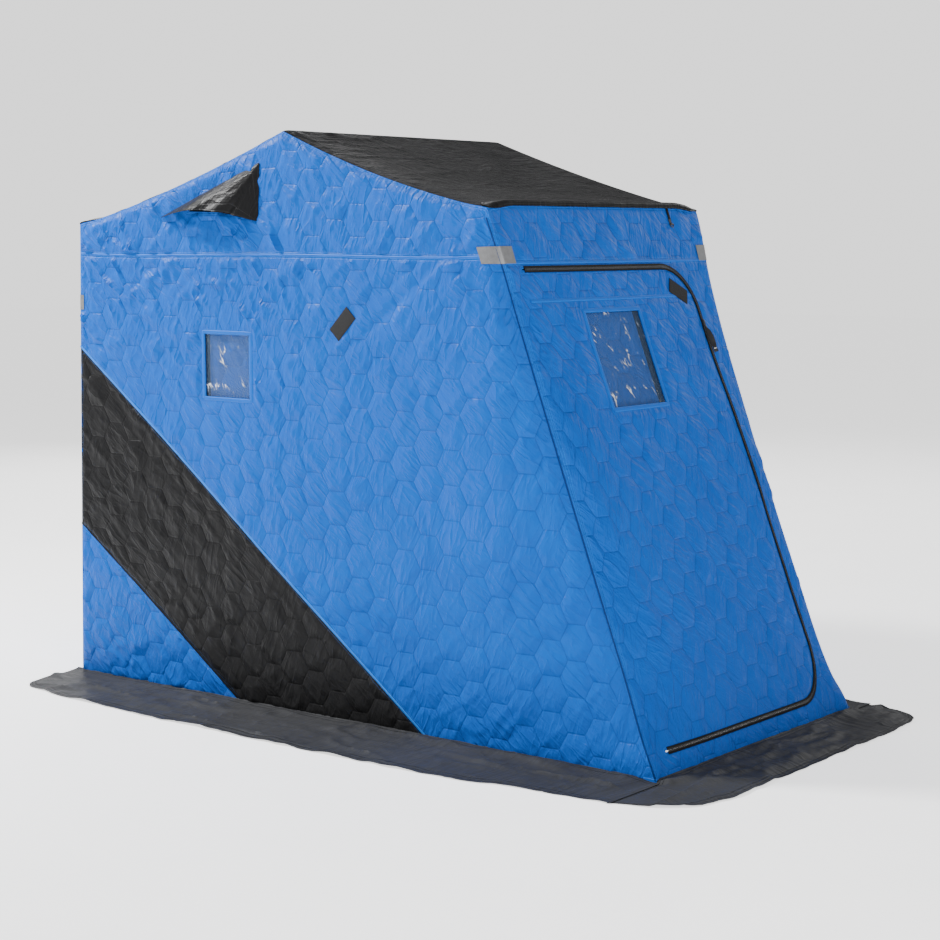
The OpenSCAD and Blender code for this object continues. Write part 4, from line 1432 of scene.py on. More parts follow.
@dataclass(frozen=True)
class Door:
    """The door's outline on its wall in millimetres, as the frame's door is cut.

    Attributes:
        shell: The shelter's corners.
        hinge_strip: Fixed cloth from the near corner to the hinge line.
        latch_top: Fixed cloth from the zipper to the far corner at the top.
        latch_low: The same at the bottom.
        sill: Fixed cloth below the door.
        header: Fixed cloth above it.
        corner_r: Radius of its rounded corners.
        gap: Gap round it.
        zip_start: From the hinge line to the zipper's ends.
        window: Left, low, right and high sides of its window.
    """

    shell: Shell
    hinge_strip: float = 85.0
    latch_top: float = 146.0
    latch_low: float = 90.0
    sill: float = 75.0
    header: float = 190.0
    corner_r: float = 165.0
    gap: float = 5.0
    zip_start: float = 8.0

    @property
    def hinge(self) -> float:
        """Returns the hinge line's place across the wall."""
        return self.hinge_strip - self.shell.half_w

    @property
    def head(self) -> float:
        """Returns the door's top, up the slope."""
        return self.shell.slope_l - self.header

    @property
    def head_corner(self) -> Array:
        """Returns the centre of the upper rounded corner."""
        return np.array([self.shell.half_w - self.latch_top - self.corner_r, self.head - self.corner_r])

    @property
    def sill_corner(self) -> Array:
        """Returns the centre of the lower rounded corner."""
        return np.array([self.shell.half_w - self.latch_low - self.corner_r, self.sill + self.corner_r])

    @property
    def window(self) -> Array:
        """Returns the window's corners."""
        left = self.hinge + 253
        high = self.head - 138
        return rectangle(left, high - 300, left + 280, high)

    def edge(self, grow: float, left: float) -> Array:
        """Returns the door's free edge, anticlockwise from the sill.

        Args:
            grow: How far outside the door's own line it runs.
            left: Where across the wall its two ends are.
        """
        up = unit(self.head_corner - self.sill_corner)
        out = math.degrees(math.atan2(-up[0], up[1]))
        r = self.corner_r + grow
        return np.vstack([
            [[left, self.sill - grow]],
            arc(self.sill_corner, r, -90, out), arc(self.head_corner, r, out, 90),
            [[left, self.head + grow]],
        ])

    def zip_at(self, v: float) -> tuple[Array, Array]:
        """Returns the point on the zipper's long side at height v, and the way up it."""
        up = unit(self.head_corner - self.sill_corner)
        start = self.sill_corner + self.corner_r * np.array([up[1], -up[0]])
        return start + up * (v - start[1]) / up[1], up


@dataclass
class SideWalls(Part):
    """The quilted side walls with their seams, windows, patches and hems.

    Attributes:
        band_top: Where the dark band's upper edge starts on the rear corner and ends on the ground.
        band_low: The same for its lower edge.
        window_middle: The window's middle.
        window_w: The window's width and height.
        patch_middle: The hook-and-loop patch's middle.
    """

    band_top: Point = (1155.0, 1560.0)
    band_low: Point = (535.0, 775.0)
    window_middle: Point = (723.0, 1094.0)
    window_w: float = 205.0
    patch_middle: Point = (1222.0, 1242.0)

    def surface(self, side: Side) -> SideWall:
        """Makes one side's surface with its creases and pressed places."""
        sh = self.shell
        wall = SideWall(sh, seed=3 if side is Side.NEAR else 41, side=side, phase=(14.0, -8.0))
        wall.creases = [
            ((1730, 1540), (1180, 1110), 15, 5.0), ((1690, 1560), (1330, 1300), 12, 3.0),
            ((1700, 1440), (1420, 1120), 13, 3.4), ((1712, 1380), (1560, 980), 12, 2.6),
            ((1300, 1440), (1120, 1180), 11, 2.4), ((640, 1440), (470, 1290), 10, 3.0),
            ((420, 1440), (250, 1310), 10, 3.2), ((250, 1440), (110, 1330), 10, 3.0),
            ((820, 1445), (700, 1330), 10, 2.6), ((560, 1570), (520, 1465), 9, 3.0),
            ((640, 1575), (640, 1465), 9, 2.8), ((730, 1570), (760, 1465), 9, 2.6),
            ((100, 1040), (300, 860), 14, 2.6), ((60, 700), (200, 840), 12, 2.4),
            ((1250, 600), (1420, 330), 13, 2.4), ((1500, 800), (1600, 520), 13, 2.2),
        ]
        seam, front = sh.seam_z, sh.door_x(FRONT_TAPE_Z)
        wall.pressed = [
            (self.window_loop(0), 15), (self.patch_path(), 22),
            (span(sh.rear_x(seam), seam, sh.door_x(seam), seam), 4),
            (np.array([sh.rear_eave, sh.ridge, sh.front_eave]), 12),
            (np.array([[sh.foot, 0], sh.front_eave]), 34),
            (span(front - 80, FRONT_TAPE_Z, front, FRONT_TAPE_Z), TAPE_PRESS),
            (span(0, REAR_TAPE_Z, 50, REAR_TAPE_Z), TAPE_PRESS),
            (span(0, sh.rear_eave[1], 30, sh.rear_eave[1]), 30),
        ]
        return wall

    def window_loop(self, grow: float) -> Array:
        """Returns the window's closed outline, grown on each side."""
        (a, b), h = self.window_middle, self.window_w / 2 + grow
        return closed(rectangle(a - h, b - h, a + h, b + h))

    def patch_path(self) -> Array:
        """Returns the patch's middle line."""
        return patch_line(np.array(self.patch_middle), 46)

    def band_line(self, ends: Point) -> Array:
        """Returns a band edge from the rear corner to the ground."""
        high, foot = ends
        lean = self.shell.rear_eave[0] / self.shell.rear_eave[1]
        z = high / (1 + lean * high / foot)
        return np.array([[lean * z, z], [foot, 0.0]])

    def build(self) -> None:
        """Builds both side walls."""
        for side in Side:
            self._build_side(side)

    def _build_side(self, side: Side) -> None:
        """Builds one side wall."""
        sh, word = self.shell, side.name.lower()
        wall = self.surface(side)
        top, low = self.band_line(self.band_top), self.band_line(self.band_low)
        seam = sh.seam_z
        rear, front = sh.rear_x(seam), sh.door_x(seam)
        quilt = Quilt()
        hole = self.window_loop(0)[:-1]
        main = np.array([top[0], top[1], [sh.foot, 0], [front, seam], [rear, seam]])
        gable = np.array([[rear, seam], [front, seam], sh.front_eave, sh.ridge, sh.rear_eave])
        band = np.array([low[0], low[1], top[1], top[0]])
        corner = np.array([[0, 0], low[1], low[0]])
        ground_h, tape_h = 7.0, 5.0

        def sewn(path: Array, half_w: float, finish: Finish, name: str, **more: float) -> bpy.types.Object:
            """Lays one tape on the wall and finishes it."""
            return self.sew(tape(f"{word}_{name}", wall, path, half_w, finish, **more))

        seam_tape = sewn(span(rear + 2, seam, front - 2, seam), tape_h, BLUE_TAPE, "eave_seam_tape")
        piping = sewn(top, 4.2, PALE_TAPE, "band_top_piping", lift=2.0)
        low_piping = sewn(low, 3.5, BLACK_TAPE, "band_low_piping", lift=1.4)
        hem_z = ground_h + 1
        low_x, top_x = self.band_low[1], self.band_top[1]
        main_hem = sewn(span(top_x, hem_z, sh.foot - 3, hem_z), ground_h, BLUE_TAPE, "main_hem")
        band_hem = sewn(span(low_x, hem_z, top_x, hem_z), ground_h, BLACK_TAPE, "band_hem")
        corner_hem = sewn(span(2, hem_z, low_x, hem_z), ground_h, BLUE_TAPE, "corner_hem")
        border = sewn(self.window_loop(5), 7, BLUE_TAPE, "window_border", lift=1.0)
        inset = sh.wrap_w * 0.04
        corner_line = span(sh.foot - inset - 4, 8, sh.front_eave[0] - inset, sh.front_eave[1] - 30)
        # The welt's navy colour is partly a real welt and partly painted shade, drawing the dark gap of the
        # front corner's seam.
        welt_and_seam_shade = sewn(corner_line, 2.6, NAVY_WELT_AND_SEAM_SHADE, "corner_welt_and_seam_shade", lift=2.2)
        # One node holds both sides' copies of these, so only the near piece stands for it.
        shared = side is Side.NEAR
        patch = self.crew.add(
            self._patch(wall, word), Body.SHELTER, "hook_and_loop", ["side_patches"] if shared else []
        )
        pane = self.crew.add(
            self._pane(wall, word), Body.SHELTER, "clear_vinyl", ["side_window_panes"] if shared else []
        )
        blind = Sheet(
            f"{word}_window_blind", wall, self.window_loop(20)[:-1] + (14, 0), BLUE_QUILT, quilt=quilt,
            lining=LINING, sink=15, thickness=3,
        )
        blind.outline[[0, 3], 0] = self.window_loop(0)[0, 0] + 10
        parts = [
            ("main_panel", main, BLUE_QUILT, "blue_fabric", [hole],
             [seam_tape, main_hem, border, patch, welt_and_seam_shade]),
            ("gable_panel", gable, BLUE_QUILT, "blue_fabric", [Vents.hole(sh)], []),
            ("band_panel", band, BLACK_QUILT, "black_fabric", [], [piping, low_piping, band_hem]),
            ("corner_panel", corner, BLUE_QUILT, "blue_fabric", [], [corner_hem]),
        ]
        for name, outline, finish, slot, holes, trims in parts:
            sheet = Sheet(f"{word}_{name}_quilt", wall, outline, finish, holes, quilt, lining=LINING)
            self.crew.add_sheet(sheet, Body.SHELTER, slot, [f"{word}_{name}"], "stretched",
                                ["ground_rails", "ridge_legs"], trims)
        self.crew.add_sheet(
            blind, Body.SHELTER, "blue_fabric", ["side_window_blinds"] if shared else [], "hung",
            [f"{word}_main_panel"],
        )

    def _patch(self, wall: SideWall, word: str) -> bpy.types.Object:
        """Makes the hook-and-loop patch."""
        return tape(f"{word}_patch", wall, self.patch_path(), 25.5, HOOK_TAPE, lift=3.0, thickness=2.2)

    def _pane(self, wall: SideWall, word: str) -> bpy.types.Object:
        """Makes the window's clear pane, sewn behind its border."""
        (a, b), h = self.window_middle, self.window_w / 2 + 9

        def place(u: Array, v: Array) -> Array:
            """Returns the pane's points, rippled a little."""
            ripple = 0.8 * wander(u, v, 60, wall.seed + 31) + 1.0 * ridges(u, v, 46, -60, 2.5, wall.seed + 33)
            edge = np.minimum(h - np.abs(u - a), h - np.abs(v - b))
            return wall.point(u, v, -4.2 + ripple * ease(edge / 20))

        steps = np.linspace(-h, h, 34)
        return Grid(f"{word}_window_pane", place, a + steps, b + steps, VINYL, 0.8, wall.flip, True).build()


@dataclass
class Vents(Part):
    """The two vents: a hole in each gable panel, its screen and its hood.

    Attributes:
        out: How far the hood stands out from the wall.
        lift: How high the middle of its hem is bowed.
    """

    out: float = 62.0
    lift: float = 22.0

    @staticmethod
    def corners(sh: Shell) -> Array:
        """Returns a vent's tip, apex and lower corner, as the frame has them."""
        right = sh.ridge[0] - 92
        left = right - 450
        apex = float(sh.roof_z(np.array(right))) - 72
        tip = float(sh.roof_z(np.array(left))) - 72 * 1.25
        return np.array([[left, tip], [right, apex], [right - 8, apex - 180]])

    @classmethod
    def hole(cls, sh: Shell) -> Array:
        """Returns the vent's hole: its triangle moved in by the rim of cloth under the hood."""
        t = cls.corners(sh)
        a, b, c = (float(np.linalg.norm(t[i] - t[j])) for i, j in ((1, 2), (2, 0), (0, 1)))
        centre = (a * t[0] + b * t[1] + c * t[2]) / (a + b + c)
        (p, q), (r, s) = t[1] - t[0], t[2] - t[0]
        k = 1 - 24 / (abs(p * s - q * r) / (a + b + c))
        inner = centre + k * (t - centre)
        return inner[::-1]

    def build(self) -> None:
        """Builds the hood of each vent."""
        for side in Side:
            wall = SideWall(self.shell, side=side)
            hood = self.crew.add(self._hood(wall, side), Body.SHELTER, "skirt_fabric",
                                 [f"{side.name.lower()}_vent_hood"])

    def _hood(self, wall: SideWall, side: Side) -> bpy.types.Object:
        """Makes one hood: cloth from its two sewn edges out to its bowed hem."""
        tip, apex, corner = self.corners(self.shell)
        top_l = float(np.linalg.norm(apex - tip))
        whole = top_l + float(np.linalg.norm(corner - apex))

        def place(u: Array, v: Array) -> Array:
            """Returns the hood's points: u from its tip to its lower corner, v down from the sewn edge."""
            t, s = u / whole, v / 100
            way = np.clip(t * whole / top_l, 0, 1)[:, None]
            down = np.clip((t * whole - top_l) / (whole - top_l), 0, 1)[:, None]
            sewn = tip + (apex - tip) * way + (corner - apex) * down
            hem = tip + (corner - tip) * t[:, None] ** 0.9
            hem[:, 1] += self.lift * np.sin(np.pi * t) ** 1.3
            at = sewn + (hem - sewn) * s[:, None]
            bulge = np.sin(np.pi * t ** 0.85) ** 0.9
            fold = 7 * (wander(t * 9 + s * 1.2, s * 0.9, 1, 17 + side.value) + 0.5 * wander(t * 21, s, 1, 29))
            out = self.out * bulge * s**0.85 + fold * np.sin(np.pi * t) * np.sin(np.pi * s * 0.62)
            return wall.point(at[:, 0], at[:, 1] + 9 * np.sin(np.pi * t), out + 3.2)

        u = np.linspace(0, whole, 76)
        v = np.linspace(0, 100, 22)
        name = f"{side.name.lower()}_vent_hood_cloth"
        return Grid(name, place, u, v, HOOD_CLOTH, 1.6, flip=side is Side.NEAR, sewn=False).build()


@dataclass
class RoofAndRear(Part):
    """The rear wall, the roof slopes and the bindings over both eaves."""

    def build(self) -> None:
        """Builds the rear wall, the roof and the bindings."""
        sh = self.shell
        w = sh.half_w
        rear = RearWall(sh, seed=71, phase=(20.0, -8.0))
        length = math.hypot(*sh.rear_eave)
        seam = sh.seam_z * length / sh.rear_eave[1]
        rear.creases = [((-400, 1380), (-150, 1100), 12, 2.6), ((420, 1380), (200, 1150), 12, 2.4),
                        ((-300, 600), (-100, 380), 13, 2.2)]
        rear.pressed = [(span(-w, seam, w, seam), 5), (span(-w, length - 10, w, length - 10), 26)]
        rear.pressed += [
            (span(s * w, REAR_TAPE_Z, s * (w - 102), REAR_TAPE_Z), TAPE_PRESS) for s in (-1, 1)
        ]
        trims = [
            self.sew(tape("rear_seam_tape", rear, span(-w + 2, seam, w - 2, seam), 6.5, BLUE_TAPE)),
            self.sew(tape("rear_hem", rear, span(-w + 2, 8, w - 2, 8), 7, BLUE_TAPE)),
        ]
        sheet = Sheet(
            "rear_wall_quilt", rear, rectangle(-w, 0, w, length), BLUE_QUILT, quilt=Quilt(), lining=LINING
        )
        self.crew.add_sheet(sheet, Body.SHELTER, "blue_fabric", ["rear_wall"], "stretched",
                            ["rear_legs", "ground_bars"], trims)
        back = RoofSlope(sh, seed=83, begin=sh.rear_eave, end=sh.ridge)
        front = RoofSlope(sh, seed=97, begin=sh.ridge, end=sh.front_eave)
        back.pressed = [(span(30, -w, 30, w), 40)]
        front.pressed = [(span(front.length - 30, -w, front.length - 30, w), 40)]
        front.pressed += [(span(0, s * w, front.length, s * w), 34) for s in (-1, 1)]
        for name, slope in (("rear", back), ("front", front)):
            sheet = Sheet(f"{name}_roof_cloth", slope, rectangle(0, -w, slope.length, w), ROOF_CLOTH,
                          thickness=3, lining=LINING, spacing=11)
            self.crew.add_sheet(sheet, Body.SHELTER, "roof_fabric", [f"{name}_roof_slope"], "stretched",
                                ["roof_bars"])
        door_wall = DoorWall(sh)
        self._binding("front", front, front.length, -1, door_wall, sh.slope_l, False)
        self._binding("rear", back, 0.0, 1, rear, length, True)

    def _binding(self, word: str, slope: RoofSlope, eave: float, inward: int, wall: Surface, top: float,
                 flip: bool) -> None:
        """Folds a smooth binding over an eave.

        Args:
            word: Which eave it is.
            slope: The roof slope above it.
            eave: The eave's place along the slope.
            inward: Which way along the slope leads up from the eave.
            wall: The wall below it.
            top: The wall's top, in its own coordinates.
            flip: Whether its faces are turned over.
        """
        sh = self.shell
        roof_reach, wall_reach = 66.0, 7.0

        def place(u: Array, v: Array) -> Array:
            """Returns the binding's points: u across the shelter, v from the roof over to the wall."""
            inset = ease((sh.half_w - np.abs(u)) / 60)
            w = v * (0.45 + 0.55 * inset)
            crown = 1.8 + 8.5 * np.exp(-(((w + 16) / 22) ** 2)) * (0.25 + 0.75 * inset)
            crown += 0.9 * wander(u, w, 70, 211) * ease((w + roof_reach) / 20)
            on_roof = slope.point(eave + inward * np.maximum(-w, 0), u, crown)
            on_wall = wall.point(u, top - np.maximum(w, 0), crown)
            t = ease(w / 12 + 0.5)[:, None]
            return on_roof * (1 - t) + on_wall * t

        u = np.linspace(1.5 - sh.half_w, sh.half_w - 1.5, 121)
        v = np.concatenate([np.linspace(-roof_reach, -8, 14), np.linspace(-5, 5, 6), [wall_reach]])
        made = Grid(f"{word}_eave_binding", place, u, v, BINDING, 1.4, flip).build()
        self.crew.add(made, Body.SHELTER, "black_fabric", [f"{word}_eave_band"])


@dataclass
class DoorEnd(Part):
    """The door wall: the cloth round the door, the door, its window and its zipper.

    Attributes:
        door: The door's outline.
        seam_v: Place of the seam across the door, up the slope.
        head_seam_v: Place of the seam over the door.
        loop_y: Place of the eave loop across the wall.
        tail_v: Where the loop's webbing tail ends, up the slope.
    """

    door: Door
    seam_v: float = 1412.0
    head_seam_v: float = 1530.0
    loop_y: float = 382.0
    tail_v: float = 1664.0

    def surface(self) -> DoorWall:
        """Makes the wall's surface with its creases and pressed places."""
        wall = DoorWall(self.shell, seed=13, phase=(-6.0, 26.0))
        wall.creases = [
            ((-470, 1680), (-430, 1560), 9, 2.6), ((-330, 1680), (-280, 1550), 9, 2.4),
            ((-180, 1680), (-120, 1560), 9, 2.4), ((20, 1680), (60, 1560), 9, 2.2),
            ((230, 1680), (250, 1560), 9, 2),
            ((-420, 1380), (-300, 1190), 11, 2.6), ((-340, 1380), (-230, 1220), 10, 2.2),
            ((150, 1360), (260, 1180), 11, 2.2), ((430, 1500), (500, 1300), 12, 2.6),
            ((-300, 520), (-120, 300), 14, 2.4), ((60, 420), (240, 220), 14, 2.4),
        ]
        door = self.door
        seam = span(door.hinge, self.seam_v, door.zip_at(self.seam_v)[0][0], self.seam_v)
        w, top = self.shell.half_w, self.shell.slope_l
        tape_v = FRONT_TAPE_Z / math.cos(self.shell.lean)
        wall.pressed = [
            (closed(door.window), 15), (seam, 4), (self.patch_path, 22), (self.top_seam, 4),
            (span(-w, top - 4, w, top - 4), 10), (door.edge(0, door.hinge + door.zip_start), 12),
            (span(self.loop_y, self.tail_v - 38, self.loop_y, top), 20),
            (span(-w, tape_v, 62 - w, tape_v), TAPE_PRESS), (span(w - 62, tape_v, w, tape_v), TAPE_PRESS),
        ]
        return wall

    @property
    def top_seam(self) -> Array:
        """Returns the seam over the door."""
        w = self.shell.half_w
        return span(-w + 4, self.head_seam_v, w - 4, self.head_seam_v)

    @property
    def patch_path(self) -> Array:
        """Returns the middle line of the door's hook-and-loop patch."""
        v = self.door.head - 84
        return patch_line(np.array([self.door.zip_at(v)[0][0] - 95, v]), -27)

    @property
    def sewn(self) -> list[Array]:
        """Returns the wall's sewn edges: its outline, the door's edge and the seam over the door."""
        w = self.shell.half_w
        outline = rectangle(-w, 0, w, self.shell.slope_l)
        return [closed(outline), self.door.edge(0, self.door.hinge), self.top_seam]

    def build(self) -> None:
        """Builds the whole door end."""
        sh, door = self.shell, self.door
        wall = self.surface()
        w, gap, top = sh.half_w, door.gap / 2, sh.slope_l
        latch = float(door.head_corner[0])
        opening = door.edge(gap, door.hinge - w)
        quilt = Quilt()
        strips = [
            ("door_header", rectangle(-w, door.head + gap, latch, top), []),
            ("door_sill", rectangle(-w, 0, latch, door.sill - gap), []),
            ("door_hinge_strip", rectangle(-w, door.sill - gap, door.hinge - 0.15, door.head + gap), []),
            ("door_latch_panel", rectangle(latch, 0, w, top), [opening]),
        ]
        top_tape = self.sew(tape("door_head_seam_tape", wall, self.top_seam, 5, BLUE_TAPE))
        hem = self.sew(tape("door_wall_hem", wall, span(-w + 3, 8, w - 3, 8), 7, BLUE_TAPE))
        tail = span(self.loop_y, self.tail_v, self.loop_y, top - 4)
        self.sew(tape("eave_loop_tail", wall, tail, 7, BLACK_TAPE, lift=2.8))
        for name, outline, holes in strips:
            sheet = Sheet(
                f"{name}_quilt", wall, outline, BLUE_QUILT, holes, quilt, lining=LINING, sewn=self.sewn
            )
            trims = {"door_header": [top_tape], "door_sill": [hem]}.get(name, [])
            self.crew.add_sheet(sheet, Body.SHELTER, "blue_fabric", [name], "stretched",
                                ["roof_bars", "ground_bars"], trims)
        self._leaf(wall, quilt)
        Zipper(sh, self.crew, door, wall).build()

    def _leaf(self, wall: DoorWall, quilt: Quilt) -> None:
        """Builds the door's flap, window, blind and patch."""
        door = self.door
        outline = door.edge(-door.gap / 2, door.hinge + 0.15)
        window = closed(door.window)
        seam_end = float(door.zip_at(self.seam_v)[0][0]) - 12
        seam_line = span(door.hinge + 2, self.seam_v, seam_end, self.seam_v)
        seam = tape("door_seam_tape", wall, seam_line, 5.5, BLUE_TAPE)
        centre = door.window.mean(0)
        grown = np.vstack([centre + (p - centre) + np.sign(p - centre) * 5 for p in window])
        border = tape("door_window_border", wall, grown, 7, BLUE_TAPE, lift=1.0)
        patch = tape("door_hook_patch", wall, self.patch_path, 25.5, HOOK_TAPE, lift=3.0, thickness=2.2)
        trims = [
            self.sew(seam, Body.DOOR, bends=True),
            self.sew(border, Body.DOOR),
            self.crew.add(patch, Body.DOOR, "hook_and_loop", ["door_patch"]),
        ]
        flap = Sheet("door_flap_quilt", wall, outline, BLUE_QUILT, [door.window], quilt, lining=LINING,
                     sewn=[*self.sewn, window])
        self.crew.add_sheet(flap, Body.DOOR, "blue_fabric", ["door_flap"], "stretched", ["door_hinge_strip"],
                            trims, bends=True)
        self.crew.add(self._pane(wall), Body.DOOR, "clear_vinyl", ["door_window_pane"])
        (left, low), (right, high) = door.window.min(0), door.window.max(0)
        blind = Sheet(
            "door_window_blind_quilt", wall, rectangle(left - 20, low - 20, right - 15, high + 20),
            BLUE_QUILT, quilt=quilt, lining=LINING, sink=16, thickness=3,
        )
        self.crew.add_sheet(
            blind, Body.DOOR, "blue_fabric", ["door_window_blind"], "hung", ["door_flap_quilt"]
        )

    def _pane(self, wall: DoorWall) -> bpy.types.Object:
        """Makes the door window's clear pane."""
        (left, low), (right, high) = self.door.window.min(0) - 9, self.door.window.max(0) + 9

        def place(u: Array, v: Array) -> Array:
            """Returns the pane's points, creased from folding."""
            ripple = 1.2 * wander(u, v, 70, 131) + 2.0 * ridges(u, v, 52, -58, 3.0, 137)
            edge = np.minimum(np.minimum(u - left, right - u), np.minimum(v - low, high - v))
            return wall.point(u, v, -4.4 + ripple * ease(edge / 22))

        u, v = np.linspace(left, right, 44), np.linspace(low, high, 46)
        return Grid("door_clear_pane", place, u, v, VINYL, 0.8, wall.flip, True).build()


@dataclass
class Zipper(Part):
    """The door's zipper: two tapes, two rows of coil teeth, the slider and its pull.

    Attributes:
        door: The door's outline.
        wall: The door wall's surface.
        tooth_pitch: Distance from one tooth to the next on a tape.
        slider_drop: The slider below the door's top.
    """

    door: Door
    wall: DoorWall
    tooth_pitch: float = 5.0
    slider_drop: float = 205.0

    def build(self) -> None:
        """Builds the zipper."""
        left = self.door.hinge + self.door.zip_start
        line = self.door.edge(0, left)
        for name, shift, body, node in (
            ("frame_zip", -1, Body.SHELTER, "frame_zip_tape"), ("door_zip", 1, Body.DOOR, "door_zip_tape")
        ):
            made = tape(f"{name}_woven_tape", self.wall, line, 4.7, BLACK_TAPE, 2.4, 1.0, shift * 5.5, 9.0)
            band = self.crew.add(made, body, "webbing", [node], bends=body is Body.DOOR)
            teeth = self.crew.add(self._teeth(f"{name}_coil_teeth", line, shift), body, "webbing",
                                  bends=body is Body.DOOR)
        self._slider()

    def _teeth(self, name: str, line: Array, shift: int) -> bpy.types.Object:
        """Makes one tape's row of coil teeth as a joined mesh."""
        run = run_along(line)
        at = np.arange(4.0 + (self.tooth_pitch / 2 if shift > 0 else 0), run[-1] - 4, self.tooth_pitch)
        middle = np.stack([np.interp(at, run, line[:, k]) for k in (0, 1)], 1)
        ahead = np.stack(
            [np.interp(at + 2, run, line[:, k]) - np.interp(at - 2, run, line[:, k]) for k in (0, 1)], 1
        )
        ahead /= np.linalg.norm(ahead, axis=1)[:, None]
        left = np.stack([-ahead[:, 1], ahead[:, 0]], 1)
        tooth = self._tooth()
        shape = np.array([v.co for v in tooth.data.vertices])
        points, faces = [], []
        for t, (m, e, n) in enumerate(zip(middle, ahead, left)):
            flat = m + np.outer(shape[:, 0] + shift * 1.9, n) + np.outer(shape[:, 1], e)
            points.append(self.wall.point(flat[:, 0], flat[:, 1], 2.0 + shape[:, 2]))
            faces += [tuple(v + t * len(shape) for v in f.vertices) for f in tooth.data.polygons]
        bpy.data.objects.remove(tooth, do_unlink=True)
        mesh = bpy.data.meshes.new(name)
        mesh.from_pydata(np.vstack(points).tolist(), [], faces)
        mesh.materials.append(COIL.material())
        piece = bpy.data.objects.new(name, mesh)
        bpy.context.scene.collection.objects.link(piece)
        activate(piece)
        bpy.ops.object.mode_set(mode="EDIT")
        bpy.ops.mesh.select_all(action="SELECT")
        bpy.ops.mesh.normals_make_consistent(inside=False)
        bpy.ops.object.mode_set(mode="OBJECT")
        return piece

    @staticmethod
    def _tooth() -> bpy.types.Object:
        """Models one tooth in millimetres, a low six-sided bead with a narrower flat top.

        Returns:
            The tooth, its foot at its own origin, to be copied along the tapes.
        """
        bpy.ops.object.select_all(action="DESELECT")
        bpy.ops.mesh.primitive_cylinder_add(vertices=6, radius=1.5, depth=1.0, location=(0, 0, 0.5))
        piece = bpy.context.active_object
        piece.scale = (1.9, 0.95, 1.0)
        bpy.ops.object.transform_apply(location=True, rotation=True, scale=True)
        select_faces(piece, lambda c, n: n.z > 0.9)
        bpy.ops.mesh.extrude_region_move(TRANSFORM_OT_translate={"value": (0, 0, 0.7)})
        bpy.ops.transform.resize(value=(0.55, 0.55, 1))
        bpy.ops.object.mode_set(mode="OBJECT")
        return piece

    def _slider(self) -> None:
        """Makes the slider's body, its bridge and the moulded pull that hangs from it."""
        middle, up = self.door.zip_at(self.door.head - self.slider_drop)
        out = np.array([math.cos(self.shell.lean), 0, math.sin(self.shell.lean)])
        slope = np.array([-math.sin(self.shell.lean), 0, math.cos(self.shell.lean)])
        climb = unit(up[0] * np.array([0, 1, 0]) + up[1] * slope)
        side = np.cross(climb, out)
        base = self.wall.point(np.array([middle[0]]), np.array([middle[1]]), 1.6)[0]

        def place(piece: bpy.types.Object) -> bpy.types.Object:
            """Moves a piece from its own axes, in millimetres, onto the zipper."""
            n = len(piece.data.vertices)
            co = np.zeros(n * 3, np.float32)
            piece.data.vertices.foreach_get("co", co)
            co = co.reshape(-1, 3).astype(float) * MM
            world = base + co @ np.stack([side, climb, out])
            piece.data.vertices.foreach_set("co", world.astype(np.float32).ravel())
            piece.data.update()
            return piece

        body = place(slider_body("zip_slider_body"))
        self.crew.add(body, Body.DOOR, "moulded_nylon", ["zip_slider"])
        pull = place(hang_out(slider_pull("zip_pull_grip")))
        self.crew.add(pull, Body.DOOR, "moulded_nylon", ["zip_pull"])
        self.sew(place(hang_out(bar_tack("zip_pull_bar_tack"))), Body.DOOR)


def box_piece(name: str, low: Sequence[float], high: Sequence[float], finish: Finish) -> bpy.types.Object:
    """Adds a box primitive in millimetres, ready to be shaped.

    Args:
        name: The piece's name.
        low: Its lowest corner.
        high: Its highest corner.
        finish: Its finish.

    Returns:
        The box, selected and active, its place in its mesh.
    """
    bpy.ops.object.select_all(action="DESELECT")
    middle = [(a + b) / 2 for a, b in zip(low, high)]
    bpy.ops.mesh.primitive_cube_add(size=1, location=middle)
    piece = bpy.context.active_object
    piece.name = piece.data.name = name
    piece.scale = [b - a for a, b in zip(low, high)]
    bpy.ops.object.transform_apply(location=True, rotation=True, scale=True)
    piece.data.materials.append(finish.material())
    return piece


def bevel_all(piece: bpy.types.Object, width: float, segments: int = 2) -> None:
    """Rounds all sharp edges of a piece by width, in its own units."""
    bevel = piece.modifiers.new("edges", "BEVEL")
    bevel.width = width
    bevel.segments = segments
    bevel.angle_limit = math.radians(35)
    activate(piece)
    bpy.ops.object.modifier_apply(modifier=bevel.name)
    bpy.ops.object.shade_smooth_by_angle(angle=math.radians(40))


def select_faces(piece: bpy.types.Object, test: Callable[[Vector, Vector], bool]) -> None:
    """Goes into edit mode with only the faces selected that pass a test of centre and normal."""
    activate(piece)
    bpy.ops.object.mode_set(mode="EDIT")
    bpy.ops.mesh.select_mode(type="FACE")
    bpy.ops.mesh.select_all(action="DESELECT")
    bm = bmesh.from_edit_mesh(piece.data)
    for f in bm.faces:
        f.select_set(test(f.calc_center_median(), f.normal))
    bmesh.update_edit_mesh(piece.data)


def slider_body(name: str) -> bpy.types.Object:
    """Makes a zipper slider: a waisted body with flanges and a bridge over it."""
    piece = box_piece(name, (-6, -2, 0), (6, 22, 5), NYLON)
    select_faces(piece, lambda c, n: n.z > 0.9)
    bpy.ops.mesh.inset(thickness=2.2, depth=0)
    bpy.ops.mesh.extrude_region_move(TRANSFORM_OT_translate={"value": (0, 0, 1.2)})
    bpy.ops.mesh.inset(thickness=1.0, depth=0)
    bpy.ops.mesh.extrude_region_move(TRANSFORM_OT_translate={"value": (0, 0, 2.4)})
    bpy.ops.transform.resize(value=(0.5, 0.8, 1))
    bpy.ops.object.mode_set(mode="OBJECT")
    select_faces(piece, lambda c, n: n.y < -0.9 and c.z < 4)
    bpy.ops.transform.resize(value=(0.62, 1, 1))
    bpy.ops.object.mode_set(mode="OBJECT")
    bevel_all(piece, 0.5)
    return piece


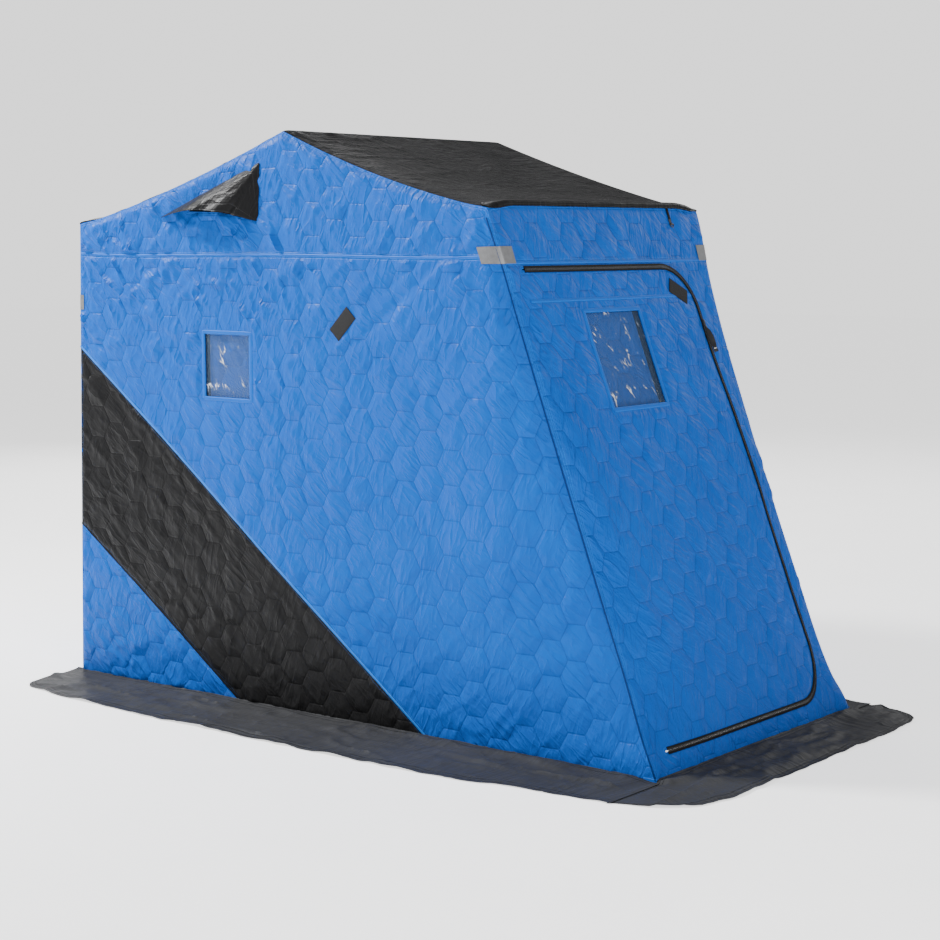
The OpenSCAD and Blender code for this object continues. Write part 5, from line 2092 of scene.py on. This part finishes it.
def slider_pull(name: str) -> bpy.types.Object:
    """Makes the pull: a neck at the slider, a wide grip with ribs and a square tail."""
    piece = box_piece(name, (-9.5, -92, 3.2), (9.5, 0, 6.2), NYLON)
    activate(piece)
    for y in (-8, -20, -40, -55, -70, -76):
        bpy.ops.object.mode_set(mode="EDIT")
        bpy.ops.mesh.select_all(action="SELECT")
        bpy.ops.mesh.bisect(plane_co=(0, y, 0), plane_no=(0, 1, 0))
        bpy.ops.object.mode_set(mode="OBJECT")
    widths = {0: 3.2, -8: 4.4, -20: 8.6, -40: 10.5, -55: 10.2, -70: 8.0, -76: 6.6, -92: 7.2}
    for v in piece.data.vertices:
        half = widths[min(widths, key=lambda y: abs(y - v.co.y))]
        v.co.x = math.copysign(half, v.co.x)
    select_faces(piece, lambda c, n: n.z > 0.9 and -70 < c.y < -8)
    bpy.ops.mesh.inset(thickness=1.6, depth=-0.7)
    bpy.ops.object.mode_set(mode="OBJECT")
    bevel_all(piece, 0.7)
    return piece


def hang_out(piece: bpy.types.Object) -> bpy.types.Object:
    """Turns the pull or its tack about the slider's bridge, so that it stands off the sloping wall."""
    activate(piece)
    bpy.ops.object.mode_set(mode="EDIT")
    bpy.ops.mesh.select_all(action="SELECT")
    lean, turn = math.radians(5), math.radians(32)
    for v in bmesh.from_edit_mesh(piece.data).verts:
        share = ease(np.clip(-v.co.y / 30, 0, 1))
        x, z = v.co.x, v.co.z - 4.5
        angle = turn * share
        v.co.x = x * math.cos(angle) - z * math.sin(angle) + v.co.y * 0.05
        v.co.z = z * math.cos(angle) + x * math.sin(angle) + 6.0 + 3.5 * share - v.co.y * math.sin(lean)
    bmesh.update_edit_mesh(piece.data)
    bpy.ops.object.mode_set(mode="OBJECT")
    return piece


def bar_tack(name: str) -> bpy.types.Object:
    """Makes the short pale bar of thread near the pull's tail."""
    piece = box_piece(name, (-4.4, -81, 6.0), (4.4, -78.5, 6.9), WHITE_THREAD)
    bevel_all(piece, 0.4)
    return piece


@dataclass
class Skirts(Part):
    """The loose skirts that lie on the ice along both sides and past the door wall."""

    def build(self) -> None:
        """Builds the three skirts."""
        sh = self.shell
        near_reach = -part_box("near_skirt")[0].y / MM - sh.half_w
        side_knots = (-25, 0, 60, 430, 860, 1735, 2165, 2388)
        near_out = (150, 226, 270, 312, near_reach - 14, near_reach - 18, 262, 245)
        far_out = (120, 205, 248, 306, near_reach, near_reach, 160, 122)
        for side, out in ((Side.NEAR, near_out), (Side.FAR, far_out)):
            self._side(side, side_knots, out)
        self._end()

    @staticmethod
    def _height(along: Array, out: Array, reach: Array, seed: int) -> Array:
        """Returns the cloth's height over the ice in millimetres.

        Args:
            along: Distance along the wall.
            out: Distance from the wall.
            reach: The skirt's width there.
            seed: Picks the folds.
        """
        share = out / np.maximum(reach, 1)
        fold = 9 * ridges(along, out, 85, 8, 4.5, seed) + 5 * ridges(along, out, 48, -14, 3.0, seed + 3)
        swell = 4 + 3.5 * wander(along, out, 120, seed + 5)
        lip = 5 * np.maximum(0, wander(along, out, 70, seed + 9)) * ease((share - 0.75) / 0.25)
        ramp = 13 * np.exp(-out / 26)
        free = ease(out / 30) * (0.35 + 0.65 * ease((1 - share) / 0.3))
        return 1.9 + ramp + (fold + swell) * free + lip

    def _side(self, side: Side, knots: Sequence[float], out: Sequence[float]) -> None:
        """Makes one side skirt."""
        sh, seed = self.shell, 51 + side.value
        word = side.name.lower()

        def place(u: Array, v: Array) -> Array:
            """Returns the skirt's points: u along the wall, v from 0 at the wall to 100 at its edge."""
            ragged = 4 * wander(u, u * 0, 46, seed) + 6 * wander(u, u * 0, 150, seed + 1)
            reach = smooth_curve(u, knots, out) + ragged
            away = reach * v / 100
            lap = ease((u - 2290) / 80)
            z = self._height(u, away, reach, seed) * (1 - lap) + 4.6 * lap
            wobble = 5 * wander(u, v * 3, 90, seed + 13) * (v / 100) * (1 - lap)
            return np.stack([sh.start + u + wobble, side.value * (sh.half_w - 2 + away), z], 1) * MM

        u = np.linspace(knots[0], knots[-1], 236)
        v = np.linspace(0, 100, 30)
        made = Grid(f"{word}_skirt_cloth", place, u, v, SKIRT_CLOTH, 1.3, flip=side is Side.NEAR).build()
        self.crew.add(made, Body.SHELTER, "skirt_fabric", [f"{word}_skirt"])
        mean = float(np.mean(smooth_curve(u, knots, out))) * MM

    def _end(self) -> None:
        """Makes the skirt past the door wall."""
        sh = self.shell
        near = -sh.half_w - 245
        far = sh.half_w + 122
        seed = 67

        def place(u: Array, v: Array) -> Array:
            """Returns the skirt's points: u across the shelter, v from 0 at the wall to 100 at its edge."""
            ragged = 4 * wander(u, u * 0, 40, seed) + 6 * wander(u, u * 0, 130, seed + 1)
            reach = smooth_curve(
                u, (near, near + 45, near + 150, near + 290, far - 240, far - 90, far - 30, far),
                (4, 124, 212, 238, 234, 210, 126, 4),
            ) + ragged * ease((u - near) / 90) * ease((far - u) / 90)
            away = reach * v / 100
            # Past the shelter's corners the skirt's inner edge has no wall to climb.
            beside = ease((sh.half_w + 8 - np.abs(u)) / 16)
            z = self._height(u, away, reach, seed) - 13 * np.exp(-away / 26) * (1 - beside)
            under = (1 - beside) * (1 - ease((away - 10) / 60))
            z = z * (1 - under) + 2.2 * under
            return np.stack([sh.start + sh.foot - 3 + away, u, z], 1) * MM

        u = np.linspace(near, far, 150)
        v = np.linspace(0, 100, 22)
        made = Grid("end_skirt_cloth", place, u, v, SKIRT_CLOTH, 1.3, flip=True).build()
        self.crew.add(made, Body.SHELTER, "skirt_fabric", ["end_skirt"])


@dataclass
class Reflectors(Part):
    """Reflective tapes sewn round the shelter's four corners.

    Attributes:
        height: The tape's width, which stands upright.
        arm: A front tape's length on the door wall.
    """

    height: float = 50.0
    arm: float = 60.0

    def build(self) -> None:
        """Builds the four tapes."""
        sh = self.shell
        for side in Side:
            wall = SideWall(sh, side=side)
            door, rear = DoorWall(sh), RearWall(sh)
            s = side.value

            def front(u: Array, v: Array, s: int = s, wall: SideWall = wall, door: DoorWall = door) -> Array:
                """Returns the front tape's points: u round the corner, v up it."""
                z = FRONT_TAPE_Z - self.height / 2 + v
                a = sh.door_x(z) + np.minimum(u, 0)
                on_side = wall.point(a, z, 2.6)
                on_door = door.point(s * (sh.half_w - np.maximum(u, 0)), z / math.cos(sh.lean), 2.6)
                t = ease(u / 6 + 0.5)[:, None]
                return on_side * (1 - t) + on_door * t

            def back(u: Array, v: Array, s: int = s, wall: SideWall = wall, rear: RearWall = rear) -> Array:
                """Returns the rear tape's points: u round the corner, v up it."""
                z = REAR_TAPE_Z - self.height / 2 + v
                on_side = wall.point(sh.rear_x(z) + np.maximum(u, 0), z, 1.8)
                on_rear = rear.point(s * (sh.half_w + np.minimum(u, 0)), z, 1.8)
                t = ease(u / 6 + 0.5)[:, None]
                return on_rear * (1 - t) + on_side * t

            shares = (-1.33, -0.9, -0.5, -0.2, -0.08, -0.03, 0, 0.03, 0.08, 0.2, 0.4, 0.7, 1)
            steps = np.array(shares) * self.arm
            high = np.linspace(0, self.height, 9)
            word = side.name.lower()
            over = side is Side.FAR
            made = Grid(f"{word}_front_reflector", front, steps, high, REFLECTIVE, 0.8, over, True).build()
            self.crew.add(made, Body.SHELTER, "reflective_tape", ["corner_reflectors"] if s < 0 else [])
            around = np.concatenate([np.linspace(-102, -8, 8), [-4, -1.5, 0, 1.5, 4], np.linspace(7, 18, 3)])
            made = Grid(f"{word}_rear_reflector", back, around, high, REFLECTIVE, 0.8, over, True).build()
            self.crew.add(made, Body.SHELTER, "reflective_tape")


@dataclass
class Hardware:
    """The frame's own pieces that stay as they are and only get a finish.

    Attributes:
        finishes: The nodes that get each finish.
    """

    finishes: dict[Finish, tuple[str, ...]] = field(default_factory=lambda: {
        GALVANISED: ("ground_rails", "ground_bars", "rear_legs", "ridge_legs", "front_legs", "roof_bars"),
        NYLON: ("bow_elbows", "ground_fittings", "eave_loop", "eave_ring"),
        MESH: ("vent_screens",),
    })

    def build(self) -> None:
        """Gives each node its finish."""
        for finish, names in self.finishes.items():
            for name in names:
                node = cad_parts[name]
                node.data.materials.clear()
                node.data.materials.append(finish.material())
                LOG.info("%s finished as %s", name, finish.name)


@dataclass
class Studio:
    """Camera, pale floor and soft lights.

    Attributes:
        eye: The camera's place in metres.
        azimuth: Its heading in degrees, anticlockwise from +Y.
        pitch: Its tilt below level in degrees.
        lens: Its focal length in millimetres on a 36 mm sensor.
    """

    eye: tuple[float, float, float] = (4.1045, -5.218, 1.508)
    azimuth: float = 38.31
    pitch: float = 6.52
    lens: float = 78.35

    def build(self) -> None:
        """Adds the camera, the floor and the lights."""
        bpy.ops.object.select_all(action="DESELECT")
        turn = (math.radians(90 - self.pitch), 0, math.radians(self.azimuth))
        bpy.ops.object.camera_add(location=self.eye, rotation=turn)
        camera = bpy.context.active_object
        camera.data.lens = self.lens
        camera.data.sensor_width = 36
        camera.data.clip_end = 200
        bpy.context.scene.camera = camera
        bpy.ops.mesh.primitive_plane_add(size=60, location=(0, 0, -0.0005))
        floor = bpy.context.active_object
        floor.name = "studio_floor"
        paint = FLOOR_PAINT.material()
        glow = paint.node_tree.nodes["Principled BSDF"].inputs
        glow["Emission Color"].default_value = (1, 1, 1, 1)
        glow["Emission Strength"].default_value = 1.28
        floor.data.materials.append(paint)
        self._light("key_softbox", (-3.9, -2.1, 4.6), 0.9, 640, (-0.1, -0.5, 0.9))
        self._light("door_softbox", (4.6, -3.4, 2.6), 1.0, 150, (0.9, -0.3, 0.7))
        self._light("rear_softbox", (-6.0, 4.5, 3.6), 3.2, 200, (-0.5, 0, 0.8))
        self._light("far_softbox", (0.5, 7.0, 4.0), 3.0, 120, (0.0, 0, 0.6))
        world = bpy.data.worlds.new("studio")
        world.use_nodes = True
        tree = world.node_tree
        fill = tree.nodes["Background"]
        fill.inputs["Strength"].default_value = 0.3
        # What the camera sees behind the floor is as bright as the floor, so that no horizon shows.
        wall = add_node(tree, "Background", {"Color": (1, 1, 1, 1), "Strength": 1.58}).outputs[0]
        seen = add_node(tree, "LightPath").outputs["Is Camera Ray"]
        both = add_node(tree, "MixShader", {0: seen, 1: fill.outputs[0], 2: wall}).outputs[0]
        tree.links.new(both, tree.nodes["World Output"].inputs["Surface"])
        fill.inputs["Color"].default_value = (1, 1, 1, 1)
        bpy.context.scene.world = world

    @staticmethod
    def _light(name: str, place: tuple[float, float, float], size: float, power: float,
               target: tuple[float, float, float]) -> None:
        """Adds one soft light.

        Args:
            name: Its name.
            place: Where it stands, in metres.
            size: Width of its square face in metres.
            power: In watts.
            target: The point that it faces.
        """
        bpy.ops.object.light_add(type="AREA", location=place)
        light = bpy.context.active_object
        light.name = name
        light.data.size = size
        light.data.energy = power
        aim = Vector(target) - Vector(place)
        light.rotation_euler = aim.to_track_quat("-Z", "Y").to_euler()


def main() -> None:
    """Builds every part of the visual model in order."""
    logging.basicConfig(level=logging.INFO, format="%(name)s: %(message)s")
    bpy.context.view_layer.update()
    shell = Shell.from_frame()
    door = Door(shell)
    crew = Crew(hinge_y=door.hinge * MM)
    Studio().build()
    for part in (
        SideWalls(shell, crew), Vents(shell, crew), RoofAndRear(shell, crew), DoorEnd(shell, crew, door),
        Skirts(shell, crew), Reflectors(shell, crew),
    ):
        part.build()
        LOG.info("%s done, %d pieces so far", type(part).__name__, crew.made)
    Hardware().build()
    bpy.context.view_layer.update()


if __name__ == "__main__":
    main()
